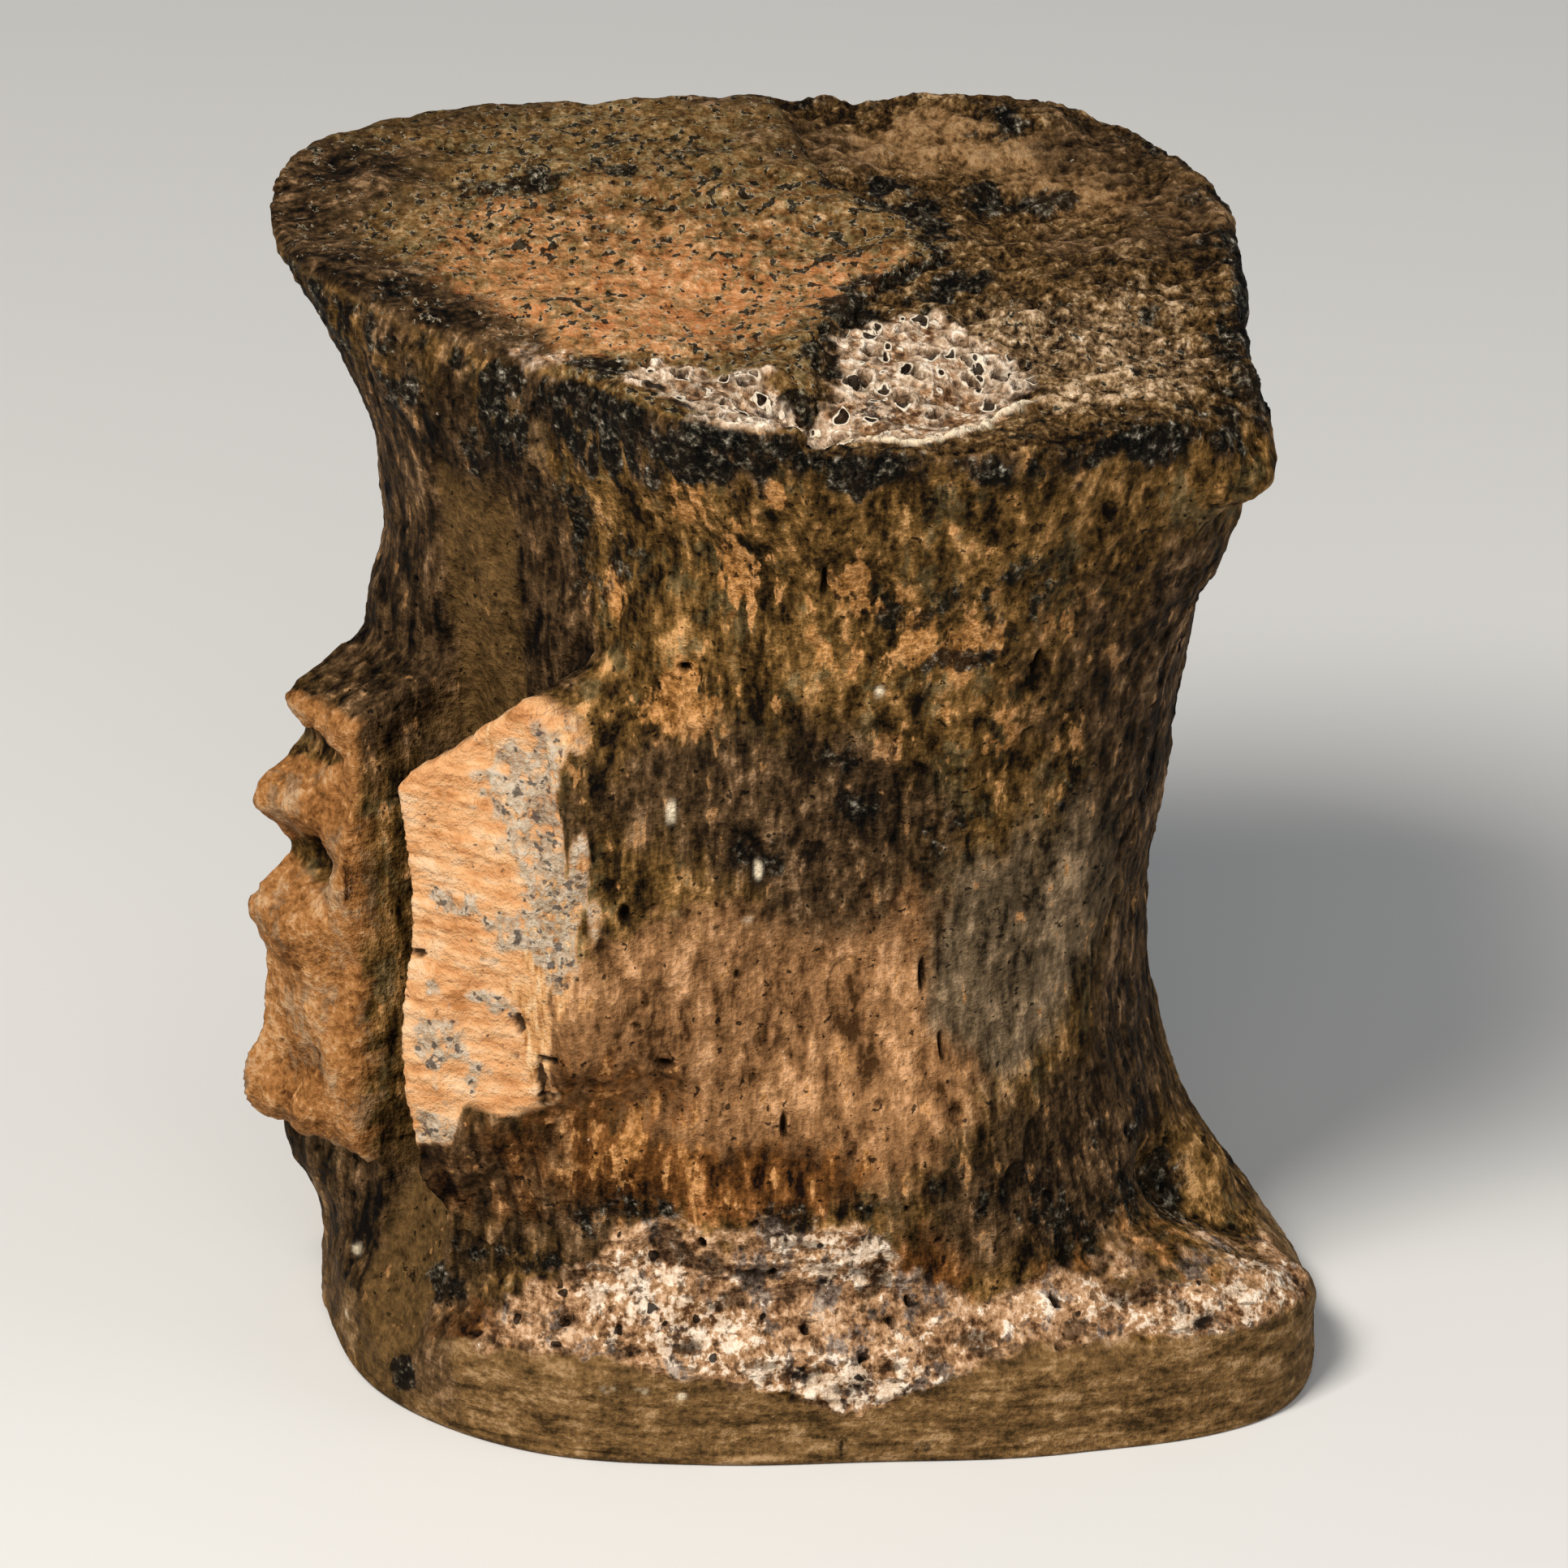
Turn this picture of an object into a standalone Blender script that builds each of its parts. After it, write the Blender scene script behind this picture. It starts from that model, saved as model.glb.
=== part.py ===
"""A fossil dinosaur tail vertebra: a waisted spool of bone standing on one end, its neural arch broken off.

Metres, +Z up along the length of the bone. -X is the dorsal side, where the neural canal runs as an open
trough between two broken stubs. The origin is at the foot, in the middle of the whole bone's extent.
"""

import math

import bmesh
import bpy
import numpy as np

MM = 0.001
HEIGHT = 68 * MM

# Where the long axis stands, seen from the origin: the outlines below are measured from it
AXIS_X, AXIS_Y = -1.4 * MM, -1.3 * MM

# Outlines seen from above, as radii in mm every 22.5 degrees, from +X (ventral) round by +Y, -X (dorsal) and -Y
UPPER_RIM = (33.2, 36.4, 33.6, 34.0, 38.2, 38.4, 32.8, 27.2, 22.6, 22.8, 28.6, 30.6, 32.4, 32.8, 28.2, 28.6)
WAIST = (22.4, 22.6, 22.6, 22.4, 22.2, 23.2, 24.4, 23.4, 21.4, 20.8, 21.2, 21.8, 22.4, 22.8, 22.6, 22.4)
LOWER_RIM = (31.0, 32.5, 34.0, 35.0, 34.5, 32.0, 28.6, 28.8, 31.0, 30.0, 28.6, 29.6, 33.4, 36.8, 35.2, 32.6)

# The side: how fast it flares to each rim, and the thick lips
WAIST_HEIGHT = 28 * MM
UPPER_FLARE = (1.35, 1.35, 1.5, 1.8, 2.8, 5.0, 7.0, 6.0, 2.8, 2.0, 2.0, 1.8, 1.6, 1.3, 1.3, 1.3)
LOWER_FLARE = (2.4, 2.4, 2.4, 2.4, 2.4, 2.2, 1.5, 1.2, 1.2, 1.5, 2.0, 2.4, 2.6, 3.0, 3.0, 2.7)
LIP_SWELL = 0.9 * MM
LIP_DEPTH = 4.5 * MM

# The lower end face: a flat ring that the bone stands on, round a shallow dish
RING_INNER, RING_OUTER = 0.82, 0.93
DISH_DEPTH = 2.6 * MM

# The upper end face: a raised joint surface to the left of a broken step, given as x for each y, in mm
STEP_Y = (-26.0, -18.0, -11.0, -6.0, -4.0, 3.0, 10.0, 16.0, 30.0)
STEP_X = (-17.0, -11.0, -4.5, 1.0, 8.5, 11.5, 10.5, 13.0, 19.0)
STEP_FALL = 1.5 * MM
STEP_WIDTH = 2.4 * MM
STEP_ENDS_Y = 17.0
FACET_DISH = 1.2 * MM

# Local lumps and hollows of the upper face: x, y, half width, half depth, rise, all in mm
FACE_FORMS = (
    (-20.0, 22.0, 7.0, 7.0, -0.8),
    (21.0, 2.0, 6.0, 8.0, -1.2),
    (28.0, 17.0, 5.0, 6.0, 1.5),
    (4.0, 33.0, 12.0, 5.0, -0.4),
    (0.0, -23.0, 12.0, 6.0, -1.0),
    (-13.5, -20.0, 3.0, 3.0, -2.2),
    (11.0, -32.0, 6.0, 4.5, -3.2),
    (14.0, -12.0, 5.0, 4.0, 0.7),
    (2.0, 9.0, 9.0, 8.0, 0.5),
    (-21.0, -2.0, 4.0, 8.0, -0.8),
)

# Local lumps and hollows of the side: angle in degrees, height, half width, half height and rise in mm
SIDE_FORMS = (
    (304, 10.5, 3.4, 3.0, -3.0),
    (315, 10.0, 2.8, 2.6, 1.4),
    (262, 8, 9.0, 3.4, -1.1),
    (236, 8, 7.0, 3.6, -0.8),
    (242, 30, 8.0, 7.0, -1.0),
    (262, 18, 9.0, 5.0, 0.7),
    (228, 44, 6.0, 5.0, 0.8),
    (286, 38, 6.0, 9.0, 0.6),
    (256, 60, 10.0, 2.6, -1.2),
    (286, 64.5, 3.6, 4.6, 2.6),
    (222, 59, 6.0, 3.0, -1.0),
    (214, 33, 8.0, 14.0, 3.8),
    (150, 46, 5.0, 3.5, 1.6),
    (215, 13, 4.0, 3.0, -0.8),
    (305, 24, 5.0, 7.0, -0.5),
    (330, 46, 5.0, 6.0, 0.7),
    (20, 34, 7.0, 10.0, -0.9),
    (55, 22, 8.0, 6.0, 0.8),
    (95, 40, 9.0, 9.0, -0.8),
    (147, 12.5, 8.0, 4.5, 4.2),
    (75, 9, 8.0, 3.0, -0.9),
)

# The neural canal: a trough with steep walls, deepest between the stubs
CANAL_NEAR, CANAL_FAR = -3.6 * MM, 5.0 * MM
CANAL_WALL = 1.5 * MM
CANAL_HEIGHTS = (0.0, 4.0, 9.0, 15.0, 20.0, 40.0, 48.0, 56.0)
CANAL_FLOOR = (-31.0, -29.5, -26.0, -22.5, -20.6, -20.2, -21.0, -22.4)
CANAL_TOP = 56 * MM

# The two stubs of the neural arch: how far out each reaches, by height
NEAR_STUB_INNER, NEAR_STUB_OUTER = -3.4 * MM, -12.8 * MM
NEAR_STUB_BOTTOM, NEAR_STUB_TOP = 17.5 * MM, 41.5 * MM
NEAR_STUB_EDGE = -30.0 * MM
NEAR_STUB_SLOPE = 0.55
NEAR_STUB_SHEAR = 0.9
NEAR_STUB_FLANK = 4.0 * MM
FAR_STUB_INNER, FAR_STUB_OUTER = 5.0 * MM, 13.2 * MM
FAR_STUB_BOTTOM, FAR_STUB_TOP = 14.5 * MM, 42.5 * MM
FAR_STUB_HEIGHTS = (14.0, 16.0, 20.0, 24.0, 28.0, 31.5, 35.5, 40.0, 42.5, 47.0)
FAR_STUB_EDGE = (-29.6, -31.0, -29.8, -29.4, -30.6, -27.4, -30.0, -26.6, -28.0, -26.0)

# How finely the skin is divided
TURNS = 98
SIDE_RINGS = 29
DENSER_DORSALLY = 0.45


def round_the_turn(radii, angle):
    """Radius at each angle: a smooth closed curve through evenly spaced values."""
    values = np.asarray(radii, float)
    place = (angle / (2 * math.pi) * len(values)) % len(values)
    at = np.floor(place).astype(int)
    part = place - at
    before, here, after, beyond = (values[(at + k) % len(values)] for k in (-1, 0, 1, 2))
    bend = 2 * before - 5 * here + 4 * after - beyond
    twist = 3 * (here - after) + beyond - before
    return here + 0.5 * part * (after - before + part * (bend + part * twist))


def eased(value):
    """0 below 0, 1 above 1, and a smooth climb between."""
    value = np.clip(value, 0, 1)
    return value * value * (3 - 2 * value)


def between(value, low, high, soft):
    """1 between two limits, falling smoothly to 0 over a soft edge outside each."""
    return eased((value - low) / soft + 1) * eased((high - value) / soft + 1)


def side_radius(angle, height):
    """Distance from the long axis: the waist, the two flares, the thick lips and the local forms."""
    waist = round_the_turn(WAIST, angle) * MM
    upper = round_the_turn(UPPER_RIM, angle) * MM
    lower = round_the_turn(LOWER_RIM, angle) * MM
    above = np.clip((height - WAIST_HEIGHT) / (HEIGHT - WAIST_HEIGHT), 0, 1)
    below = np.clip((WAIST_HEIGHT - height) / WAIST_HEIGHT, 0, 1)
    radius = waist + (upper - waist) * above ** round_the_turn(UPPER_FLARE, angle)
    radius = radius + (lower - waist) * below ** round_the_turn(LOWER_FLARE, angle)
    radius = radius + LIP_SWELL * np.exp(-(((HEIGHT - LIP_DEPTH - height) / LIP_DEPTH) ** 2))
    radius = radius + LIP_SWELL * np.exp(-(((LIP_DEPTH - height) / LIP_DEPTH) ** 2))
    for turn, level, wide, tall, rise in SIDE_FORMS:
        away = (angle - math.radians(turn) + math.pi) % (2 * math.pi) - math.pi
        across = away * 25 / wide
        along = (height / MM - level) / tall
        radius = radius + rise * MM * np.exp(-(across**2) - along**2)
    return radius


def face_height(x, y):
    """Height of the upper end face: the raised joint surface, the broken step and the local forms."""
    edge = np.interp(y / MM, STEP_Y, STEP_X) * MM
    raised = eased((edge - x) / STEP_WIDTH + 0.5)
    height = HEIGHT - STEP_FALL * (1 - raised) * (1 - 0.8 * eased((y / MM - STEP_ENDS_Y) / 8))
    height = height - FACET_DISH * np.exp(-((x / MM + 5) ** 2 + (y / MM - 3) ** 2) / 15**2) * raised
    for along_x, along_y, wide, deep, rise in FACE_FORMS:
        away = ((x / MM - along_x) / wide) ** 2 + ((y / MM - along_y) / deep) ** 2
        height = height + rise * MM * np.exp(-away)
    return height


def dorsal_forms(x, y, z):
    """x after the canal is cut and the two stubs of the arch are drawn out of the dorsal side."""
    facing = eased((-x / MM - 8) / 4)
    above = z / MM
    slope = NEAR_STUB_SLOPE * (NEAR_STUB_INNER - y)
    near_edge = NEAR_STUB_EDGE + slope + 0.5 * MM * np.sin(above / 3.1) * np.sin(y / MM / 2.0)
    near = eased((y - NEAR_STUB_OUTER) / NEAR_STUB_FLANK + 1) * eased((NEAR_STUB_INNER - y) / (1.6 * MM) + 1)
    leaning = z - NEAR_STUB_SHEAR * np.clip(NEAR_STUB_INNER - y, 0, 11 * MM)
    near = near * between(leaning, NEAR_STUB_BOTTOM, NEAR_STUB_TOP, 3.6 * MM)
    x = x + near * facing * np.minimum(near_edge - x, 0)
    far_edge = np.interp(above, FAR_STUB_HEIGHTS, FAR_STUB_EDGE) * MM
    far_edge = far_edge + 0.5 * MM * np.cos(y / MM / 1.6) * np.sin(above / 2.3)
    far = between(y, FAR_STUB_INNER, FAR_STUB_OUTER, 1.8 * MM)
    far = far * eased((z - FAR_STUB_BOTTOM) / (2.0 * MM) + 1) * eased((FAR_STUB_TOP - z) / (4.0 * MM) + 1)
    x = x + far * facing * np.minimum(far_edge - x, 0)
    floor = np.interp(above, CANAL_HEIGHTS, CANAL_FLOOR) * MM
    canal = between(y, CANAL_NEAR + CANAL_WALL, CANAL_FAR - CANAL_WALL, CANAL_WALL)
    canal = canal * eased((CANAL_TOP - z) / (5 * MM) + 1)
    return x + canal * facing * np.maximum(floor - x, 0)


def blank_profile():
    """The unshaped blank as pairs of radius and height, each from 0 to 1: lower face, side, upper face."""
    lower = [(0.0, 0.0), (0.3, 0.0), (0.55, 0.0), (0.7, 0.0), (RING_INNER, 0.0), (RING_OUTER, 0.0)]
    lower_lip = [(0.972, 0.007), (0.994, 0.024)]
    side = [(1.0, 0.05 + 0.9 * step / (SIDE_RINGS - 1)) for step in range(SIDE_RINGS)]
    upper_lip = [(0.985, 0.978), (0.955, 0.994)]
    upper = [(share, 1.0) for share in (0.91, 0.84, 0.75, 0.65, 0.54, 0.43, 0.32, 0.21, 0.1, 0.0)]
    return lower + lower_lip + side + upper_lip + upper


def shaped(points):
    """The blank's points moved to the surface of the bone."""
    share = np.hypot(points[:, 0], points[:, 1])
    level = points[:, 2]
    turn = np.arctan2(points[:, 1], points[:, 0]) % (2 * math.pi)
    angle = turn - DENSER_DORSALLY * np.sin(turn - math.pi)
    height = level * HEIGHT
    radius = share * side_radius(angle, height)
    x = radius * np.cos(angle)
    y = radius * np.sin(angle)
    dish = np.where(level == 0, eased((RING_INNER - share) / RING_INNER), 0) * DISH_DEPTH
    lifted = eased((level - 0.6) / 0.4)
    z = height + dish + lifted * (face_height(x, y) - HEIGHT)
    on_side = (level > 0) | (share > RING_OUTER)
    rimward = np.where(on_side & (level < 1), 1.0, eased((share - 0.7) / 0.2) * (level == 1))
    x = x + rimward * (dorsal_forms(x, y, z) - x)
    return np.stack([x + AXIS_X, y + AXIS_Y, z], axis=1)


def bone_material():
    """Fossil bone: mottled brown mineral, dull."""
    material = bpy.data.materials.new("fossil_bone")
    material.use_nodes = True
    surface = material.node_tree.nodes["Principled BSDF"]
    surface.inputs["Base Color"].default_value = (0.19, 0.11, 0.055, 1)
    surface.inputs["Roughness"].default_value = 0.72
    surface.inputs["Metallic"].default_value = 0.0
    return material


def vertebra():
    """A profile spun round the long axis, then shaped point by point with the forms above."""
    blank = bmesh.new()
    profile = [blank.verts.new((radius, 0, level)) for radius, level in blank_profile()]
    edges = [blank.edges.new(pair) for pair in zip(profile, profile[1:])]
    bmesh.ops.spin(
        blank,
        geom=profile + edges,
        cent=(0, 0, 0),
        axis=(0, 0, 1),
        angle=2 * math.pi,
        steps=TURNS,
        use_merge=True,
    )
    bmesh.ops.remove_doubles(blank, verts=blank.verts, dist=1e-5)
    points = np.array([vert.co for vert in blank.verts])
    for vert, place in zip(blank.verts, shaped(points)):
        vert.co = place
    bmesh.ops.recalc_face_normals(blank, faces=blank.faces)
    mesh = bpy.data.meshes.new("vertebra")
    blank.to_mesh(mesh)
    blank.free()
    mesh.shade_smooth()
    mesh.materials.append(bone_material())
    bone = bpy.data.objects.new("vertebra", mesh)
    bpy.context.scene.collection.objects.link(bone)
    return bone


for old in list(bpy.data.objects):
    bpy.data.objects.remove(old, do_unlink=True)
vertebra()
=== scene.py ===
"""The looks of a fossil dinosaur tail vertebra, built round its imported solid."""

import math

import bpy
import numpy as np
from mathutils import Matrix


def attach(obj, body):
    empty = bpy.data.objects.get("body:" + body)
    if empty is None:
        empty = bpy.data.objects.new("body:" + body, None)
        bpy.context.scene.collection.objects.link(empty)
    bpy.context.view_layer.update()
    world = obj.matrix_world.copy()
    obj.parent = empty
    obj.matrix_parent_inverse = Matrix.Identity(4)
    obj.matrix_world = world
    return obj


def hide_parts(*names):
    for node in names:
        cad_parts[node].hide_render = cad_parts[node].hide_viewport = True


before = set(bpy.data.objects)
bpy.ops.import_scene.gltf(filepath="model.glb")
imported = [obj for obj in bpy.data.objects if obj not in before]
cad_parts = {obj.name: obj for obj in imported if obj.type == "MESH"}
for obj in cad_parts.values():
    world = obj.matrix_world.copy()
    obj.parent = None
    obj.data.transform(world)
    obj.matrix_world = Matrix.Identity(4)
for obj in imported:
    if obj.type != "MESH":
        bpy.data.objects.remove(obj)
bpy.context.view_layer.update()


# The spool of bone
# One waisted drum of mineralised bone standing on end. It flares to a thick lip at each end; the upper end
# is a joint surface with a broken step, and on the dorsal side an open canal runs between two broken stubs.

MM = 0.001
TINY = 1e-9
HEIGHT = 68
AXIS_X, AXIS_Y = -1.4, -1.3

# Radii in mm every 22.5 degrees, from +X (ventral) round by +Y, -X (dorsal) and -Y, as in the solid
UPPER_RIM = (33.2, 37.2, 33.2, 33.2, 38, 38.2, 32.8, 27.2, 22.6, 22.8, 28.6, 30.6, 32.6, 31.2, 28, 28.6)
WAIST = (22.4, 22.6, 22.6, 22.4, 22.2, 23.2, 24.4, 23.4, 21.4, 20.8, 21.2, 21.8, 22.4, 22.8, 22.6, 22.4)
LOWER_RIM = (31, 32.5, 34, 35, 34.5, 32, 28.8, 28.8, 30, 29.4, 27.2, 27, 30.8, 36.2, 33.2, 31.6)
UPPER_FLARE = (1.3, 1.35, 1.5, 1.8, 2.8, 5, 7, 6, 2.8, 2, 2, 1.8, 1.6, 1.25, 1.1, 1.15)
LOWER_FLARE = (2.4, 2.4, 2.4, 2.4, 2.4, 2.2, 1.5, 1.2, 1.2, 1.5, 2, 2.4, 2.6, 2.8, 2.5, 2.3)
# The upper lip is blunt round the lobe on the far side and sharp on the near side, where it has broken
UPPER_LIP = (0.7, 0.7, 0.8, 0.9, 1, 0.9, 0.9, 1, 1, 0.6, 0.4, 0.35, 0.4, 0.35, 0.45, 0.7)
# The foot's flange: how high it stands, and how much of the way out to the lower rim it reaches, 0 to 1
FLANGE_TOP = (3, 4.5, 6, 6.5, 6.5, 6, 6, 6, 5.5, 6.5, 7.5, 7.5, 7, 9, 4.5, 1.5)
FLANGE_REACH = (0.5, 0.5, 0.5, 0.5, 0.5, 0.4, 0.3, 0.3, 0.5, 0.8, 0.9, 0.9, 0.9, 1, 0.9, 0.6)
FLANGE_SHOULDER = 4.5
WAIST_HEIGHT = 28
LIP_SWELL, LIP_DEPTH = 0.9, 4.5
RING_INNER, DISH_DEPTH = 0.82, 2.6
# The radius in mm that turns an angle into a width on the side
SIDE_RADIUS = 25

# The broken step across the upper end: x of its edge for each y
STEP_Y = (-26, -18, -11, -6, -4, 3, 10, 16, 30)
STEP_X = (-17, -11, -4.5, 1, 8.5, 11.5, 10.5, 13, 19)
STEP_FALL, STEP_WIDTH, STEP_ENDS_Y, FACET_DISH = 1.5, 1.3, 17, 1.2
FACET_MIDDLE_X, FACET_MIDDLE_Y, FACET_WIDE = -5, 3, 15

# Lumps and hollows of the upper end: x, y, half width, half depth, rise
FACE_FORMS = (
    (-20, 22, 7, 7, -0.8), (21, 2, 6, 8, -1.2), (28, 17, 5, 6, 1.5), (4, 33, 12, 5, -0.4),
    (0, -23, 12, 6, -1), (-13.5, -20, 3, 3, -2.2), (12, -33, 5, 4, -2.6), (14, -12, 5, 4, 0.7),
    (2, 9, 9, 8, 0.5), (-21, -2, 4, 8, -0.8),
)

# Lumps and hollows of the side: angle in degrees, height, half width, half height, rise
SIDE_FORMS = (
    (304, 10.5, 3.4, 3, -3), (315, 10, 2.8, 2.6, 1.4), (262, 9, 9, 3.4, -0.8), (236, 9, 7, 3.6, -0.6),
    (242, 30, 8, 7, -1), (262, 18, 9, 5, 0.7), (228, 44, 6, 5, 0.8), (286, 38, 6, 9, 0.6),
    (290, 65.2, 3.2, 3.6, 3.6), (297, 57, 7, 6, 1.9), (222, 59, 6, 3, -1), (214, 33, 8, 14, 3.8),
    (150, 46, 5, 3.5, 1.6), (215, 13, 4, 3, -0.8), (305, 24, 5, 7, -0.5), (330, 46, 5, 6, 0.7),
    (20, 34, 7, 10, -0.9), (55, 22, 8, 6, 0.8), (95, 40, 9, 9, -0.8), (147, 12, 8, 4.5, 4.8),
    (75, 9, 8, 3, -0.9),
)

# The neural canal and the two broken stubs of the arch beside it
CANAL_NEAR, CANAL_FAR, CANAL_WALL, CANAL_TOP = -3.6, 5, 1.5, 56
CANAL_HEIGHTS = (0, 4, 9, 15, 20, 40, 48, 56)
CANAL_FLOOR = (-31.5, -29.4, -26.6, -22.5, -20.6, -20.2, -21, -22.4)
NEAR_STUB_INNER, NEAR_STUB_OUTER, NEAR_STUB_FLANK = -3.4, -12.8, 4
NEAR_STUB_BOTTOM, NEAR_STUB_TOP = 16.5, 41.5
NEAR_STUB_EDGE, NEAR_STUB_SLOPE, NEAR_STUB_SHEAR, NEAR_STUB_LEDGE = -30, 0.55, 0.9, 3.8
RIDGE_HEIGHTS = (1, 5, 9, 13, 17)
RIDGE_EDGE = (-28.5, -28.6, -27.6, -27.4, -28.4)
RIDGE_SLOPE, RIDGE_OUTER = 0.7, -12
FAR_STUB_INNER, FAR_STUB_OUTER = 5, 13.2
FAR_STUB_BOTTOM, FAR_STUB_TOP = 14.5, 41.5
FAR_STUB_HEIGHTS = (14, 16, 20, 24, 28, 31.5, 35.3, 39.2, 41.6, 46)
FAR_STUB_EDGE = (-29.6, -31, -29.8, -29.4, -30.6, -27.4, -30, -26.6, -28, -26)
FAR_STUB_INNER_EDGE = -28.6
FAR_BREAK_DEPTH = -27.2


def round_the_turn(values, angle):
    """A smooth closed curve through evenly spaced values: the cubic through each four neighbours."""
    values = np.asarray(values, float)
    place = (angle / (2 * math.pi) * len(values)) % len(values)
    at = np.floor(place).astype(int)
    part = place - at
    before, here, after, beyond = (values[(at + k) % len(values)] for k in (-1, 0, 1, 2))
    bend = 2 * before - 5 * here + 4 * after - beyond
    twist = 3 * (here - after) + beyond - before
    return here + 0.5 * part * (after - before + part * (bend + part * twist))


def eased(value):
    """0 below 0, 1 above 1, and 3v^2 - 2v^3 between."""
    value = np.clip(value, 0, 1)
    return value * value * (3 - 2 * value)


def rounded(value, places, heights):
    """A curve through each place and height, level there and eased between, so its crests are round."""
    places, heights = np.array(places), np.array(heights)
    at = np.clip(np.searchsorted(places, value) - 1, 0, len(places) - 2)
    part = eased((value - places[at]) / (places[at + 1] - places[at]))
    return heights[at] + part * (heights[at + 1] - heights[at])


def between(value, low, high, soft):
    """1 between two limits, eased down to 0 over a soft edge outside each."""
    return eased((value - low) / soft + 1) * eased((high - value) / soft + 1)


def hill(across, onward=0.0):
    """A Gaussian hill, 1 high: exp of minus the squares of two distances, each over its half width."""
    return np.exp(-(across**2) - onward**2)


def round_gap(angle, degrees):
    """How far an angle is from a direction in degrees, the short way round, in radians."""
    return (angle - math.radians(degrees) + math.pi) % (2 * math.pi) - math.pi


def side_radius(angle, height):
    """Distance from the axis: waist, a power of the height for each flare, and Gaussian lips and lumps."""
    waist = round_the_turn(WAIST, angle)
    upper_rim, lower_rim = round_the_turn(UPPER_RIM, angle), round_the_turn(LOWER_RIM, angle)
    above = np.clip((height - WAIST_HEIGHT) / (HEIGHT - WAIST_HEIGHT), 0, 1)
    below = np.clip((WAIST_HEIGHT - height) / WAIST_HEIGHT, 0, 1)
    radius = waist + (upper_rim - waist) * above ** round_the_turn(UPPER_FLARE, angle)
    radius += (lower_rim - waist) * below ** round_the_turn(LOWER_FLARE, angle)
    swell = LIP_SWELL * np.clip(round_the_turn(UPPER_LIP, angle), 0.3, 1)
    radius += swell * hill((HEIGHT - LIP_DEPTH - height) / LIP_DEPTH)
    radius += LIP_SWELL * hill((LIP_DEPTH - height) / LIP_DEPTH)
    shoulder = eased((round_the_turn(FLANGE_TOP, angle) - height) / FLANGE_SHOULDER + 0.5)
    radius += round_the_turn(FLANGE_REACH, angle) * shoulder * np.maximum(lower_rim - radius, 0)
    for turn, level, wide, tall, rise in SIDE_FORMS:
        radius += rise * hill(round_gap(angle, turn) * SIDE_RADIUS / wide, (height - level) / tall)
    return radius


def raised_side(x, y):
    """1 on the raised joint surface of the upper end, 0 beyond the broken step."""
    return eased((np.interp(y, STEP_Y, STEP_X) - x) / STEP_WIDTH + 0.5)


def face_height(x, y):
    """Height of the upper end: the joint surface's dish, the step down, and Gaussian lumps and hollows."""
    raised = raised_side(x, y)
    height = HEIGHT - STEP_FALL * (1 - raised) * (1 - 0.8 * eased((y - STEP_ENDS_Y) / 8))
    from_middle = np.hypot(x - FACET_MIDDLE_X, y - FACET_MIDDLE_Y)
    height -= FACET_DISH * hill(from_middle / FACET_WIDE) * raised
    for along_x, along_y, wide, deep, rise in FACE_FORMS:
        height += rise * hill((x - along_x) / wide, (y - along_y) / deep)
    return height


def near_stub(y, z):
    """1 over the near stub's break, which leans, so its ends slant, and narrows at its top; eased to 0."""
    leaning = z - NEAR_STUB_SHEAR * np.clip(NEAR_STUB_INNER - y, 0, 11)
    outer = NEAR_STUB_OUTER + 6 * eased((z - 44) / 8)
    across = eased((y - outer) / NEAR_STUB_FLANK + 1) * eased((NEAR_STUB_INNER - y) / 1.6 + 1)
    ledge = eased((leaning - NEAR_STUB_BOTTOM) / NEAR_STUB_LEDGE + 1)
    return across * ledge * eased((NEAR_STUB_TOP - leaning) / 3.6 + 1)


def far_stub(y, z):
    """1 over the far stub, eased to 0 round it."""
    across = between(y, FAR_STUB_INNER, FAR_STUB_OUTER, 1.8)
    return across * eased((z - FAR_STUB_BOTTOM) / 2 + 1) * eased((FAR_STUB_TOP - z) / 4 + 1)


def canal_mask(y, z):
    """1 inside the neural canal, 0 outside its steep walls."""
    across = between(y, CANAL_NEAR + CANAL_WALL, CANAL_FAR - CANAL_WALL, CANAL_WALL)
    return across * eased((CANAL_TOP - z) / 5 + 1)


def facing_dorsal(x):
    """0 over the middle of the bone, eased to 1 on its dorsal side."""
    return eased((-x - 8) / 4)


def dorsal_forms(x, y, z):
    """x after the near ridge and each stub are drawn out to their edges and the canal is cut to its floor."""
    facing = facing_dorsal(x)
    outward_slope = NEAR_STUB_INNER - y
    ridge = eased((y - RIDGE_OUTER) / 5 + 0.5) * eased(outward_slope / 1.2 + 1) * between(z, 3, 19, 3)
    ridge_edge = np.interp(z, RIDGE_HEIGHTS, RIDGE_EDGE) + RIDGE_SLOPE * outward_slope
    x = x + ridge * facing * np.minimum(ridge_edge - x, 0)
    near_edge = NEAR_STUB_EDGE + NEAR_STUB_SLOPE * outward_slope + 0.5 * np.sin(z / 3.1) * np.sin(y / 2)
    x = x + near_stub(y, z) * facing * np.minimum(near_edge - x, 0)
    knobby = eased((y - 5) / 5)
    far_edge = rounded(z, FAR_STUB_HEIGHTS, FAR_STUB_EDGE) * knobby + FAR_STUB_INNER_EDGE * (1 - knobby)
    far_edge = far_edge + 0.5 * np.cos(y / 1.6) * np.sin(z / 2.3)
    x = x + far_stub(y, z) * facing * np.minimum(far_edge - x, 0)
    floor = np.interp(z, CANAL_HEIGHTS, CANAL_FLOOR)
    return x + canal_mask(y, z) * facing * np.maximum(floor - x, 0)


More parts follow.
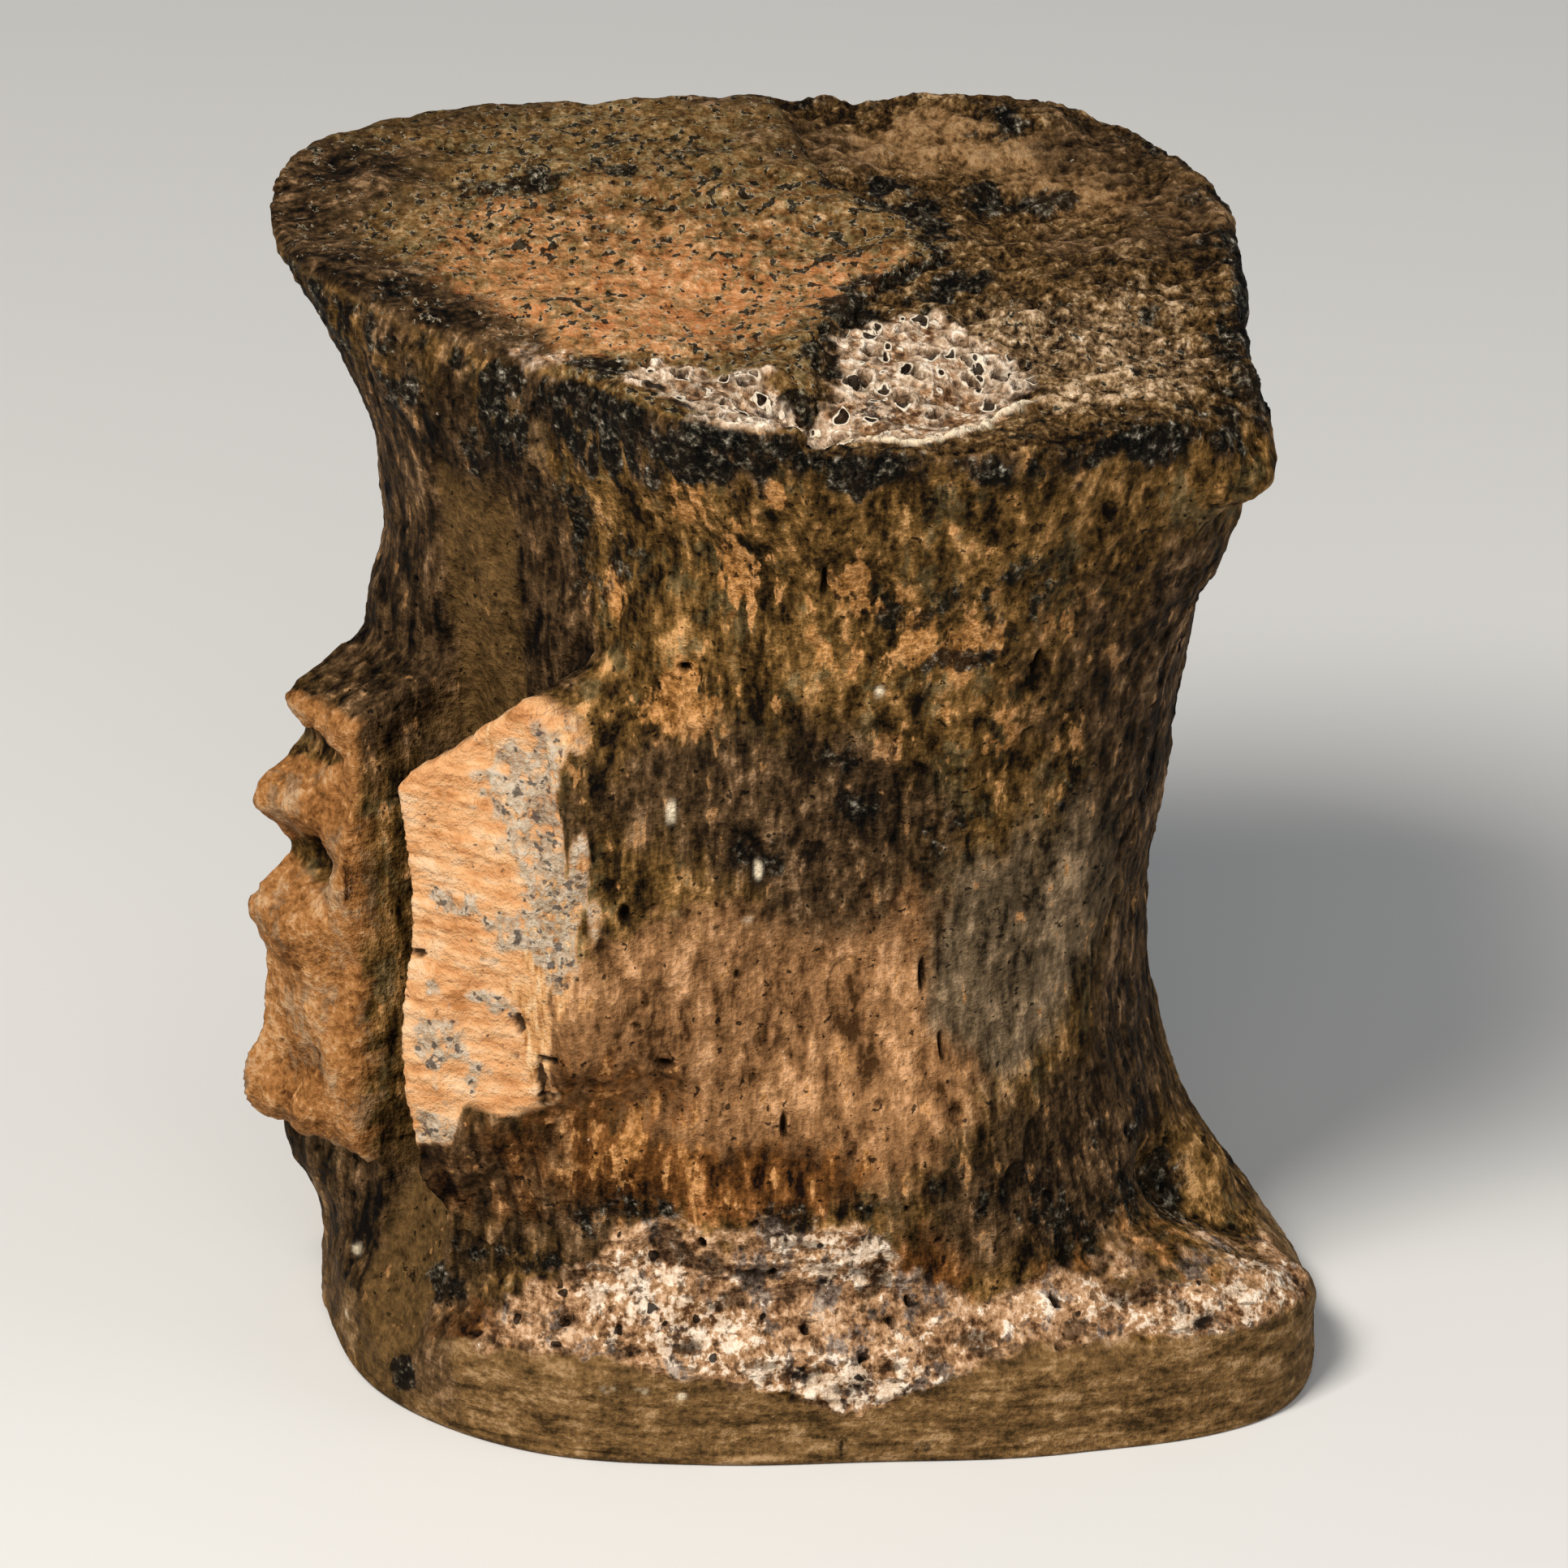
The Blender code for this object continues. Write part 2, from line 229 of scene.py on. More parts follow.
# Travel runs over the bone from the middle of the lower end (0) over the lower lip (0.8 to 1), up the side
# (1 to 2), over the upper lip (2 to 2.2) and in to the middle of the upper end (3)
LOWER_LIP_START, UPPER_LIP_START, LIP_TRAVEL = 0.8, 2.0, 0.2
UPPER_END_START = UPPER_LIP_START + LIP_TRAVEL
RIM_TRAVEL = 2.08
LIP_LEVEL, LIP_SHARE, LOWER_LIP, LOWER_EDGE = 0.05, 0.09, 0.25, 0.975


def profile(angle, travel):
    """Share of the full radius and level from foot to top, for each travel; the lips are quarter ellipses."""
    lower = np.clip((travel - LOWER_LIP_START) / LIP_TRAVEL, 0, 1) * math.pi / 2
    upper = np.clip((travel - UPPER_LIP_START) / LIP_TRAVEL, 0, 1) * math.pi / 2
    bluntness = round_the_turn(UPPER_LIP, angle)
    share = LOWER_EDGE * np.clip(travel / LOWER_LIP_START, 0, 1) + (1 - LOWER_EDGE) * np.sin(lower)
    share = share * (1 - LIP_SHARE * bluntness * (1 - np.cos(upper)))
    share = share * (1 - np.clip((travel - UPPER_END_START) / (3 - UPPER_END_START), 0, 1))
    level = LIP_LEVEL * LOWER_LIP * (1 - np.cos(lower))
    level = level + (1 - LIP_LEVEL * LOWER_LIP - LIP_LEVEL * bluntness) * np.clip(travel - 1, 0, 1)
    return share, level + LIP_LEVEL * bluntness * np.sin(upper)


def bone_form(angle, travel):
    """The smooth bone: the profile carried round the axis, with the forms of the end and the dorsal side."""
    share, level = profile(angle, travel)
    height = level * HEIGHT
    radius = share * side_radius(angle, height)
    x = radius * np.cos(angle)
    y = radius * np.sin(angle)
    on_foot = travel < LOWER_LIP_START
    dish = np.where(on_foot, eased((RING_INNER - share) / RING_INNER) * DISH_DEPTH, 0)
    z = height + dish + eased((level - 0.6) / 0.4) * (face_height(x, y) - HEIGHT)
    dorsal = np.where(on_foot, 0, np.where(travel > UPPER_END_START, eased((share - 0.7) / 0.2), 1))
    x = x + dorsal * (dorsal_forms(x, y, z) - x)
    return np.stack([x, y, z], axis=-1)


def outward(angle, travel):
    """Unit normals of the smooth bone: the cross product of its two small central differences."""
    step = 0.004
    round_it = bone_form(angle + step, travel) - bone_form(angle - step, travel)
    up_it = bone_form(angle, travel + step) - bone_form(angle, travel - step)
    normal = np.cross(round_it, up_it)
    length = np.linalg.norm(normal, axis=-1, keepdims=True)
    upright = np.where(travel > 1.5, 1.0, -1.0)[..., None] * np.array([0.0, 0.0, 1.0])
    near_pole = (travel < 0.01) | (travel > 2.99)
    return np.where(near_pole[..., None] | (length < TINY), upright, normal / np.maximum(length, TINY))


# The weathered surface
# The outer bone is fibrous along its length, with nutrient slits and pits. Where it is broken or worn away,
# pale spongy bone shows as a net of thin walls round open pores, and the stubs end in clean pale breaks.

# Turns the noise about the long axis, so that its cells don't line up with x and y
TILT = np.array([[0.80, -0.60, 0.0], [0.60, 0.80, 0.0], [0.0, 0.0, 1.0]])


def lattice(corner, seed):
    """A fixed pseudo-random number from 0 to 1 for each whole-numbered corner, from its three counts."""
    count = corner.astype(np.int64).astype(np.uint32)
    mixed = count[..., 0] * np.uint32(374761393) + count[..., 1] * np.uint32(668265263)
    mixed = mixed + count[..., 2] * np.uint32(3266489917) + np.uint32(seed * 974711 + 77)
    mixed = (mixed ^ (mixed >> np.uint32(13))) * np.uint32(1274126177)
    mixed = (mixed ^ (mixed >> np.uint32(15))) * np.uint32(2246822519)
    return ((mixed ^ (mixed >> np.uint32(16))) & np.uint32(0xFFFF)) / 65535.0


def noise(points, size, seed, stretch=(1, 1, 1), layers=1):
    """Value noise from -1 to 1: random corner values eased across each cell, finer layers at half height."""
    total = 0.0
    for layer in range(layers):
        place = points @ TILT / (np.array(stretch) * size / 2**layer) + 13.7 * layer
        corner = np.floor(place)
        part = place - corner
        part = part * part * part * (part * (part * 6 - 15) + 10)
        value = 0.0
        for step in np.ndindex(2, 2, 2):
            share = np.abs(1 - np.array(step) - part)
            weight = share[..., 0] * share[..., 1] * share[..., 2]
            value = value + weight * lattice(corner + step, seed + layer)
        total = total + (value * 2 - 1) * 0.5**layer
    return total


def pores(across, up, size, seed):
    """Scattered centres on a flat layout, one in each square: distance in mm to the nearest and the second
    nearest, and the nearest one's own number from 0 to 1."""
    corner_across = np.floor(across / size)
    corner_up = np.floor(up / size)
    first = np.full(across.shape, 9.0)
    second = np.full(across.shape, 9.0)
    number = np.zeros(across.shape)
    for step_across in (-1, 0, 1):
        for step_up in (-1, 0, 1):
            square = np.stack([corner_across + step_across, corner_up + step_up, 0 * corner_up], axis=-1)
            spot_across = square[..., 0] + 0.12 + 0.76 * lattice(square, seed)
            spot_up = square[..., 1] + 0.12 + 0.76 * lattice(square, seed + 1)
            away = np.hypot(spot_across - across / size, spot_up - up / size)
            closer = away < first
            second = np.where(closer, first, np.minimum(second, away))
            number = np.where(closer, lattice(square, seed + 2), number)
            first = np.where(closer, away, first)
    return first * size, second * size, number


# The band of spongy bone round the foot: angle in degrees, its lower edge and its upper edge
FOOT_SPONGE = (
    (181, 4.6, 6.2), (190, 5.2, 7.6), (199, 6.2, 9.4), (206, 6.6, 10.8), (211, 6.8, 13.2),
    (217, 6.2, 14.2), (224, 5.9, 13.4), (231, 5.1, 14), (237, 4.3, 14.2), (245, 3.4, 13.7),
    (250, 4.4, 12.6), (254, 5.2, 10.2), (260, 5.9, 9.4), (267, 6.8, 8.6), (277, 6.8, 9.2),
    (284, 6.7, 9.2), (290, 6.7, 9.3), (300, 6.3, 8.2), (308, 5.6, 6.6), (315, 5.4, 5.2),
)
SPONGE_TURN, SPONGE_FOOT, SPONGE_HEAD = zip(*FOOT_SPONGE)

# The blue-black band under the upper rim, stain with painted shade under the lip's overhang: how far down it
# comes, and how dense it is
RIM_BAND_FOOT, RIM_BAND_SHARE = 63, 0.95

# Where each kind of surface lies on the side: angle in degrees, height, half width, half height, strength
WHITE_LOW = (
    (245, 5, 5, 1.6, 1), (235, 5.6, 4, 1.2, 0.7), (246, 12, 4, 2, 1), (238, 13, 2.6, 1.2, 0.7),
    (219, 8.6, 4, 1.8, 0.9), (227, 7.6, 4, 1.6, 0.8), (214, 10.6, 3, 2, 0.8), (209, 9.4, 2.4, 1.6, 0.6),
    (280, 8, 5, 1.6, 0.6), (291, 7.8, 5, 1.4, 0.6), (300, 7.2, 4, 1.2, 0.5), (262, 7.6, 4, 1.2, 0.4),
)
# Blue-black stains of the side; those just under the upper rim and in the deep pit at 304 degrees hold
# painted shade too
STAIN_AND_SHADE_SIDE = (
    (186, 61, 6, 4, 0.4), (196, 10.8, 4, 1, 0.8), (186, 8.2, 2.2, 1.2, 1), (184, 2.4, 1.3, 1.1, 0.9),
    (262, 55, 4, 4, 0.5), (206, 57, 4, 4, 0.6), (232, 38.4, 2.6, 1.8, 0.6), (242, 44.5, 1.6, 1.6, 0.6),
    (246, 41.6, 1.8, 1.6, 0.6), (260, 38.9, 2.2, 1.8, 0.6), (250, 54.5, 1.6, 1.2, 0.8),
    (257.6, 51.5, 2.4, 0.8, 0.8), (279, 40, 1.8, 1.6, 0.6), (238, 1.3, 6, 0.8, 0.4),
    (262, 1.2, 6, 0.8, 0.4), (262, 17, 3, 4, 0.35), (272, 14.5, 3, 4, 0.4), (283, 13.5, 4, 4, 0.45),
    (293, 13, 4, 4, 0.4), (304, 10.4, 3.2, 2.6, 1), (212, 14, 4, 2, 0.6), (236, 14.6, 7, 1, 0.6),
    (302, 20, 4, 5, 0.5), (330, 63, 9, 3, 0.7), (350, 60, 8, 4, 0.7), (20, 50, 7, 6, 0.6),
    (45, 64, 12, 3, 0.7), (60, 14, 8, 5, 0.5), (90, 64, 12, 3, 0.6), (110, 52, 8, 6, 0.6),
    (95, 24, 6, 8, 0.4), (135, 64, 10, 3, 0.6),
)
# Darker bone with painted shade, on the sides turned from the light
DUSK_AND_SHADE_SIDE = (
    (150, 52, 14, 13, 0.8), (180, 52, 9, 14, 0.9), (195, 47, 5, 13, 0.85), (190, 22, 8, 9, 0.7),
    (170, 8, 13, 8, 0.7), (233, 43, 10, 5.5, 0.75), (245, 38, 8, 6, 0.75), (283, 50, 8, 9, 0.6),
    (300, 44, 9, 12, 0.75), (275, 15, 10, 6, 0.8), (300, 20, 8, 8, 0.7), (318, 35, 10, 20, 0.7),
    (208, 13, 4, 4, 0.5), (40, 20, 16, 8, 0.6), (350, 45, 10, 9, 0.5), (115, 40, 10, 12, 0.5),
)
OCHRE_SIDE = (
    (229, 58, 1.5, 3, 1), (209, 54, 1.4, 2.2, 0.9), (221, 48.3, 2.6, 2.4, 1), (234, 63, 0.7, 1.6, 1),
    (222.4, 62.2, 1.8, 2.2, 0.8), (243.5, 57.8, 1.2, 1.4, 1), (246, 56, 1.4, 1.2, 1),
    (252.4, 52.8, 1.6, 2, 0.8), (260, 52.5, 1.8, 1.6, 0.9), (272, 53.6, 1.6, 1.6, 0.7),
    (280, 48.4, 1.4, 2.2, 0.7), (266, 45.5, 1.4, 1.8, 0.7), (249.8, 45, 1, 1.8, 1),
    (278, 43.3, 1.4, 2.2, 0.7), (249, 36.1, 0.7, 1.8, 1), (240, 55, 7, 5, 0.4), (254, 52, 5, 5, 0.3),
    (263, 46, 5, 5, 0.3), (276, 50, 5, 5, 0.25), (216, 44, 4, 6, 0.35), (225, 17.5, 10, 2.4, 0.25),
    (206, 16, 5, 4, 0.35), (215, 20, 4, 5, 0.4), (247, 17.5, 7, 2.4, 0.35), (268, 16, 4, 4, 0.35),
    (286, 15, 5, 4, 0.35), (30, 30, 9, 8, 0.7), (75, 45, 9, 7, 0.8), (120, 30, 8, 9, 0.6),
    (340, 30, 7, 9, 0.6),
)
ROSY_SIDE = (
    (238, 25, 12, 8, 1), (225, 27, 7, 8, 0.9), (252, 25, 6, 8, 0.9), (250, 32, 6, 5, 0.7),
    (45, 40, 9, 9, 0.8), (100, 20, 7, 6, 0.8),
)
ASH_SIDE = (
    (268, 29, 4, 7, 0.9), (262, 34, 3, 5, 0.6), (280, 32, 6, 9, 0.7), (298, 40, 9, 12, 0.5),
    (70, 30, 10, 12, 0.7), (190, 62, 4, 4, 0.5),
)
RUST_SIDE = (
    (222, 16.5, 9, 2.4, 0.75), (236, 17, 6, 2.4, 0.7), (213, 22, 4, 5, 0.6), (194, 16, 4, 3, 0.9),
    (202, 17, 5, 3.5, 0.9), (204, 8, 3, 2, 0.8), (189, 6.6, 3.6, 1.3, 1), (175, 2.7, 1, 0.9, 1),
    (257, 11, 3, 3, 0.8), (277, 13, 3, 5, 0.5), (289, 12, 3, 4, 0.4), (10, 10, 9, 5, 0.6),
)

# Where each kind of surface lies on the upper end: x, y, half width, half depth, strength
SPONGE_TOP = (
    (-17, -12, 2.6, 2.2, 0.9), (-16, -16.5, 3.4, 3.4, 1), (-17.5, -20.5, 3.4, 3, 1),
    (-13.8, -21.5, 2.4, 2.6, 1), (-7.5, -22.6, 4.6, 4, 1), (-4, -20, 5, 5, 1), (-1.4, -14.8, 4, 4.6, 1),
    (1.4, -12.4, 2.4, 2.6, 0.9), (1, -18.4, 3, 3.6, 0.85), (-20, -4, 1.6, 3.4, 0.55),
)
WARM_TOP = (
    (-9, 15, 5, 5, 0.4), (-14, 8, 5, 6, 0.6), (-7, 3, 7, 6, 0.65), (-10, -6, 6, 4.5, 1),
    (-2, -3, 6, 4, 0.8), (4, -4, 4, 3, 0.3), (-16, -2, 4, 5, 1), (-18.5, 3, 3.6, 4.5, 0.95),
    (-4, 9, 12, 9, 0.25),
)
MOTTLED_TOP = (
    (6, -16, 4, 5, 0.9), (10, -22, 4, 6, 0.8), (5, -26, 5, 3, 0.7), (14, -16, 5, 4, 0.5),
    (-13, -9, 5, 3, 0.3),
)
# Blue-black stains of the upper end; those along the broken step and in the hollow beside the ridge are
# painted shade
STAIN_AND_SHADE_TOP = (
    (2, -5.4, 2, 1.8, 0.95), (-0.8, -8.2, 1.8, 1.8, 0.95), (-3.6, -11, 1.6, 1.8, 0.95),
    (-6.8, -14.2, 1.8, 1.8, 0.95), (4.6, -9, 2.4, 3, 0.6), (19.7, 7, 2.6, 2.2, 0.9),
    (22.5, 4.4, 3, 2, 0.9), (15, 9, 2, 4, 0.8), (13, 3, 1.8, 5, 0.8), (8, -6.6, 3.4, 1.6, 0.95),
    (-1.4, -8.6, 1.8, 2.6, 0.8), (27, 14, 3, 2.6, 0.7), (4, 19, 5, 1.6, 0.7), (-4, 20, 5, 1.4, 0.7),
    (-9, 22, 4, 1.6, 0.6), (-11.6, -18.6, 1.4, 1.6, 1), (-21, 1, 2.4, 5, 0.35), (-22, 9, 3, 5, 0.3),
    (-20, -9, 2.4, 4, 0.7), (14, -18, 3, 4, 0.5), (18, -8, 4, 4, 0.5), (6, 30, 8, 3, 0.4),
)
# Darker bone with painted shade, over the far part and the left lobe of the upper end
DUSK_AND_SHADE_TOP = (
    (-21, 0, 3, 6, 0.8), (-26, 20, 8, 10, 1), (-24, 8, 6, 8, 0.9), (-16, 29, 9, 7, 0.9),
    (2, 36, 14, 4, 0.6), (20, 30, 10, 7, 0.7), (30, 8, 5, 9, 0.7), (28, -8, 6, 8, 0.6),
    (20, -6, 5, 6, 0.5), (14, 18, 6, 5, 0.5),
)
RIDGE_TOP = (
    (21, 15, 5, 4, 0.9), (26, 8, 4, 4, 0.8), (24.5, 3, 3, 3, 0.7), (2, 33, 12, 3, 0.4),
    (28, -5, 4, 8, 0.5),
)

# Radii in mm that turn an angle into a width for the small marks of the side
SLIT_RADIUS, FLECK_RADIUS, PORE_RADIUS = 23, 24, 27
# Nutrient slits and pits of the side: angle, height, half width, half height, depth
SLITS = (
    (240, 57.3, 0.16, 0.9, 0.8), (216.5, 35.1, 0.2, 0.7, 0.8), (257.3, 29.4, 0.16, 1, 0.9),
    (260.3, 24.8, 0.15, 0.8, 0.8), (235, 20.4, 0.18, 0.8, 0.8), (269, 50.4, 0.16, 0.8, 0.8),
    (220.5, 25, 0.28, 0.36, 0.7), (220.7, 50.5, 0.3, 0.3, 0.7), (40, 33, 0.2, 1, 0.9),
    (88, 30, 0.2, 0.9, 0.8), (5, 38, 0.18, 0.9, 0.8), (120, 44, 0.3, 0.5, 0.7), (338, 22, 0.2, 0.9, 0.8),
)
# Pale flecks on the side: angle, height, half width, half height
CREAM_SIDE = (
    (231.2, 37.6, 0.22, 0.5), (229.8, 34.2, 0.3, 0.2), (220.4, 41.7, 0.13, 0.6), (248, 49.6, 0.22, 0.35),
    (167, 7, 0.3, 0.3), (168, 2.8, 0.3, 0.25), (213, 4.8, 0.3, 0.25), (217, 4.9, 0.25, 0.2),
    (222, 4.6, 0.2, 0.2),
)
# Three round pores in the near edge of the upper end: x, y, radius
ROUND_PORES = ((-18.5, -13.3, 0.62), (-19.1, -16.5, 0.66), (-20.4, -18.9, 0.5))
# The pale line of dense bone along the near edge of the upper end
CREAM_LINE_X = (-12.5, -11, -9, -7, -4.5, -2.5, 0.5)
CREAM_LINE_Y = (-22.4, -25, -26.4, -27, -26.2, -25, -24.2)
# The near stub's break: its outer edge at each height, and its lower edge at each y
BREAK_HEIGHT = (20, 25.5, 30.2, 34.9, 39.2, 42.4, 48.6)
BREAK_OUTER = (-10.8, -11.6, -12.2, -13.5, -13.7, -12.8, -12.7)
BREAK_Y = (-12, -8.9, -6.6, -6, -3.4)
BREAK_FOOT = (22.6, 21.2, 21.4, 18.8, 18.2)
# Its grey-white parts, fibrous edge and crevices: y, z, half width, half height, strength
STUMP_PALE = (
    (-11.8, 42, 2.4, 4, 1), (-12.4, 36, 1.8, 4.4, 1), (-9.4, 43, 2.2, 2.4, 0.9),
    (-10, 33.5, 1.8, 1.4, 0.8), (-7, 40.6, 1.6, 1, 0.7), (-6.6, 35, 1.8, 0.9, 0.6),
    (-8.6, 28.8, 1.8, 0.8, 0.6), (-4.8, 19.4, 1.6, 1.4, 0.9), (-6, 25.4, 1.8, 1.4, 0.5),
)
STUMP_FIBRES = ((-11.3, 29, 1.4, 5.6, 1), (-12.8, 36, 0.9, 3, 0.8), (-12.4, 47, 0.7, 2.6, 0.8))
STUMP_CREVICE = (
    (-10.9, 24.4, 0.3, 1.2, 1), (-11.4, 25.6, 0.7, 0.22, 1), (-11.2, 22.9, 0.6, 0.22, 1),
    (-4, 31, 0.5, 0.3, 0.9), (-9.9, 27.6, 0.25, 0.7, 0.7),
)


def soft_oval(across, onward, fall=0.7):
    """A soft oval, from two distances over its half sizes: exp of minus a share of the fourth power."""
    away = across**2 + onward**2
    return np.exp(-fall * away * away)


def side_zone(spots, angle, z):
    """The union of soft ovals on the side: 1 less the product of each oval's shortfall from 1."""
    short = 1.0
    for turn, level, wide, tall, strength in spots:
        oval = soft_oval(round_gap(angle, turn) * SIDE_RADIUS / wide, (z - level) / tall)
        short = short * (1 - strength * oval)
    return 1 - short


def flat_zone(spots, across, onward):
    """The same union for ovals seen from above, or from the dorsal side."""
    short = 1.0
    for place, level, wide, deep, strength in spots:
        short = short * (1 - strength * soft_oval((across - place) / wide, (onward - level) / deep))
    return 1 - short


def frayed(zone, rough, amount=0.35, soft=0.25):
    """A zone with its edge broken up by noise: 1 well inside, 0 well outside."""
    return eased((zone - 0.5 + amount * rough) / soft + 0.5)


def foot_sponge(turn, z, ragged):
    """1 in the band of spongy bone round the foot, between its two ragged edges."""
    over_foot = (z - np.interp(turn, SPONGE_TURN, SPONGE_FOOT)) / 0.5 + 1.1 * ragged
    under_head = (np.interp(turn, SPONGE_TURN, SPONGE_HEAD) - z) / 0.8 + 1.6 * ragged
    return eased(over_foot + 0.5) * eased(under_head + 0.5) * between(turn, 198, 312, 5)


def near_stub_break(y, z, medium, fibre, ragged):
    """1 on the near stub's pale break: over the stub, and within the break's own outer and lower edges."""
    outer_edge = np.interp(z, BREAK_HEIGHT, BREAK_OUTER) - 0.9 * fibre - 0.3 * medium
    foot_edge = np.interp(y, BREAK_Y, BREAK_FOOT) + 0.5 * ragged
    inside = eased((near_stub(y, z) - 0.62) / 0.25 + 0.3 * ragged)
    return inside * eased((y - outer_edge) / 0.4 + 0.5) * eased((z - foot_edge) / 0.4 + 0.5)


def stain_and_shade_under_rim(x, y, z, broad, medium, fibre):
    """The band under the upper rim, stain with painted shade under the lip: dense above its ragged foot,
    patchy, and only well out from the axis.
    """
    band = RIM_BAND_SHARE * eased((z - RIM_BAND_FOOT) / 3.4 + 0.7 * medium + 0.5 * fibre + 0.5)
    return band * eased((np.hypot(x, y) - 20) / 3) * np.clip(0.84 + 0.4 * broad + 0.25 * medium, 0, 1)


def shade_in_step(x, y, medium):
    """Painted shade along the foot of the broken step: a Gaussian across it, weaker at the near part."""
    from_step = x - np.interp(y, STEP_Y, STEP_X) + 0.6 * medium
    return hill((from_step - 0.3) / 1.5) * eased((16 - y) / 6) * (0.35 + 0.65 * eased((y + 7) / 3))


def slit_depth(angle, z):
    """The sum of the slits and pits that were read from the bone one by one."""
    depth_here = 0.0
    for turn, level, wide, tall, depth in SLITS:
        across = round_gap(angle, turn) * SLIT_RADIUS / wide
        depth_here = depth_here + soft_oval(across, (z - level) / tall, 1) * depth
    return depth_here


def weathered(angle, travel):
    """Every point of the worn bone in metres, and what shows there: each kind of surface, from 0 to 1."""
    form = bone_form(angle, travel)
    normal = outward(angle, travel)
    x, y, z = form[..., 0], form[..., 1], form[..., 2]
    turn = np.degrees(angle) % 360
    on_top = eased((travel - RIM_TRAVEL) / 0.1)
    below = eased((0.88 - travel) / 0.1)
    on_side = (1 - on_top) * (1 - below)
    rim = hill((travel - RIM_TRAVEL) / 0.1)

    # Noise that everything below shares
    broad = noise(form, 7.0, 1, layers=2)
    medium = noise(form, 2.6, 2, layers=2)
    fine = noise(form, 0.9, 3, layers=2)
    grain = noise(form, 0.42, 7)
    fibre = noise(form, 0.95, 4, stretch=(1, 1, 4), layers=3)
    ragged = 0.6 * medium + 0.5 * fine

    # Kinds of surface
    sponge_side = foot_sponge(turn, z, ragged) * on_side
    sponge_top = frayed(flat_zone(SPONGE_TOP, x, y), ragged) * on_top
    sponge = np.maximum(sponge_side, sponge_top)
    facing = facing_dorsal(x) * on_side
    near_break = near_stub_break(y, z, medium, fibre, ragged) * facing
    outermost = eased((FAR_BREAK_DEPTH - x) / 0.9 + 0.3 * medium)
    far_break = frayed(far_stub(y, z) * facing * outermost, ragged, 0.35, 0.3)
    canal = canal_mask(y, z) * facing * eased((-x - 14) / 4)
    raised = raised_side(x, y) * on_top
    hollow_end = (1 - raised_side(x, y)) * on_top
    worn_end = hollow_end * (1 - sponge_top)
    band_top = np.interp(turn, SPONGE_TURN, SPONGE_FOOT) + 0.6
    band = eased(band_top - z + 0.4 * medium) * on_side * (1 - sponge)
    pale_stump = frayed(flat_zone(STUMP_PALE, y, z), ragged, 0.7, 0.3) * near_break
    fibres = frayed(flat_zone(STUMP_FIBRES, y, z), fibre, 0.5, 0.4) * near_break
    crevice = frayed(flat_zone(STUMP_CREVICE, y, z), fine, 0.4, 0.3) * facing
    bare = on_side * (1 - sponge) * (1 - near_break) * (1 - band)
    mottled_top = flat_zone(MOTTLED_TOP, x, y)
    dusk_and_shade_top = flat_zone(DUSK_AND_SHADE_TOP, x, y)
    warm = flat_zone(WARM_TOP, x, y) * raised

    # Relief in mm, along the normal: the fibrous side, the two breaks, the foot's band and the upper end
    relief = 0.20 * broad + 0.14 * medium
    relief += bare * (0.10 * (0.6 - np.abs(fibre)) + 0.05 * fibre + 0.06 * fine + 0.05 * grain)
    flaked = noise(form, 3.0, 9, stretch=(1, 1, 1.6), layers=3)
    relief -= bare * 0.16 * eased((flaked - 0.42) / 0.06)
    bedding = noise(form, 1.0, 11, stretch=(5, 5, 0.3), layers=2)
    relief += band * (0.05 * bedding + 0.04 * fine + 0.03 * grain)
    relief += far_break * (0.25 * medium + 0.05 * fine)
    layers = noise(form, 1.5, 12, stretch=(1.6, 1.6, 0.35), layers=3)
    chipped = noise(form, 1.6, 14, layers=3)
    sheeted = 0.05 * layers + 0.07 * eased((layers - 0.15) / 0.1)
    relief += near_break * ((1 - fibres) * sheeted + 0.10 * chipped + 0.03 * grain)
    relief += fibres * 0.12 * noise(form, 0.7, 19, stretch=(1, 1, 9), layers=2)
    relief += pale_stump * 0.12 * chipped - 0.3 * crevice
    relief += raised * (0.03 * fine + 0.05 * medium + 0.03 * grain)
    ragged_step = raised_side(x + 1.2 * medium + 0.9 * fine, y) - raised_side(x, y)
    relief += on_top * STEP_FALL * 0.5 * ragged_step * eased((STEP_ENDS_Y - y) / 4)
    relief += worn_end * (0.20 * medium + 0.20 * fine + 0.06 * grain)
    relief += rim * (1 - sponge) * (0.16 * noise(form, 1.5, 15, layers=3) + 0.05 * grain - 0.05)
    relief -= 0.3 * hill((travel - 0.96) / 0.05) * np.maximum(medium + 0.1, 0)

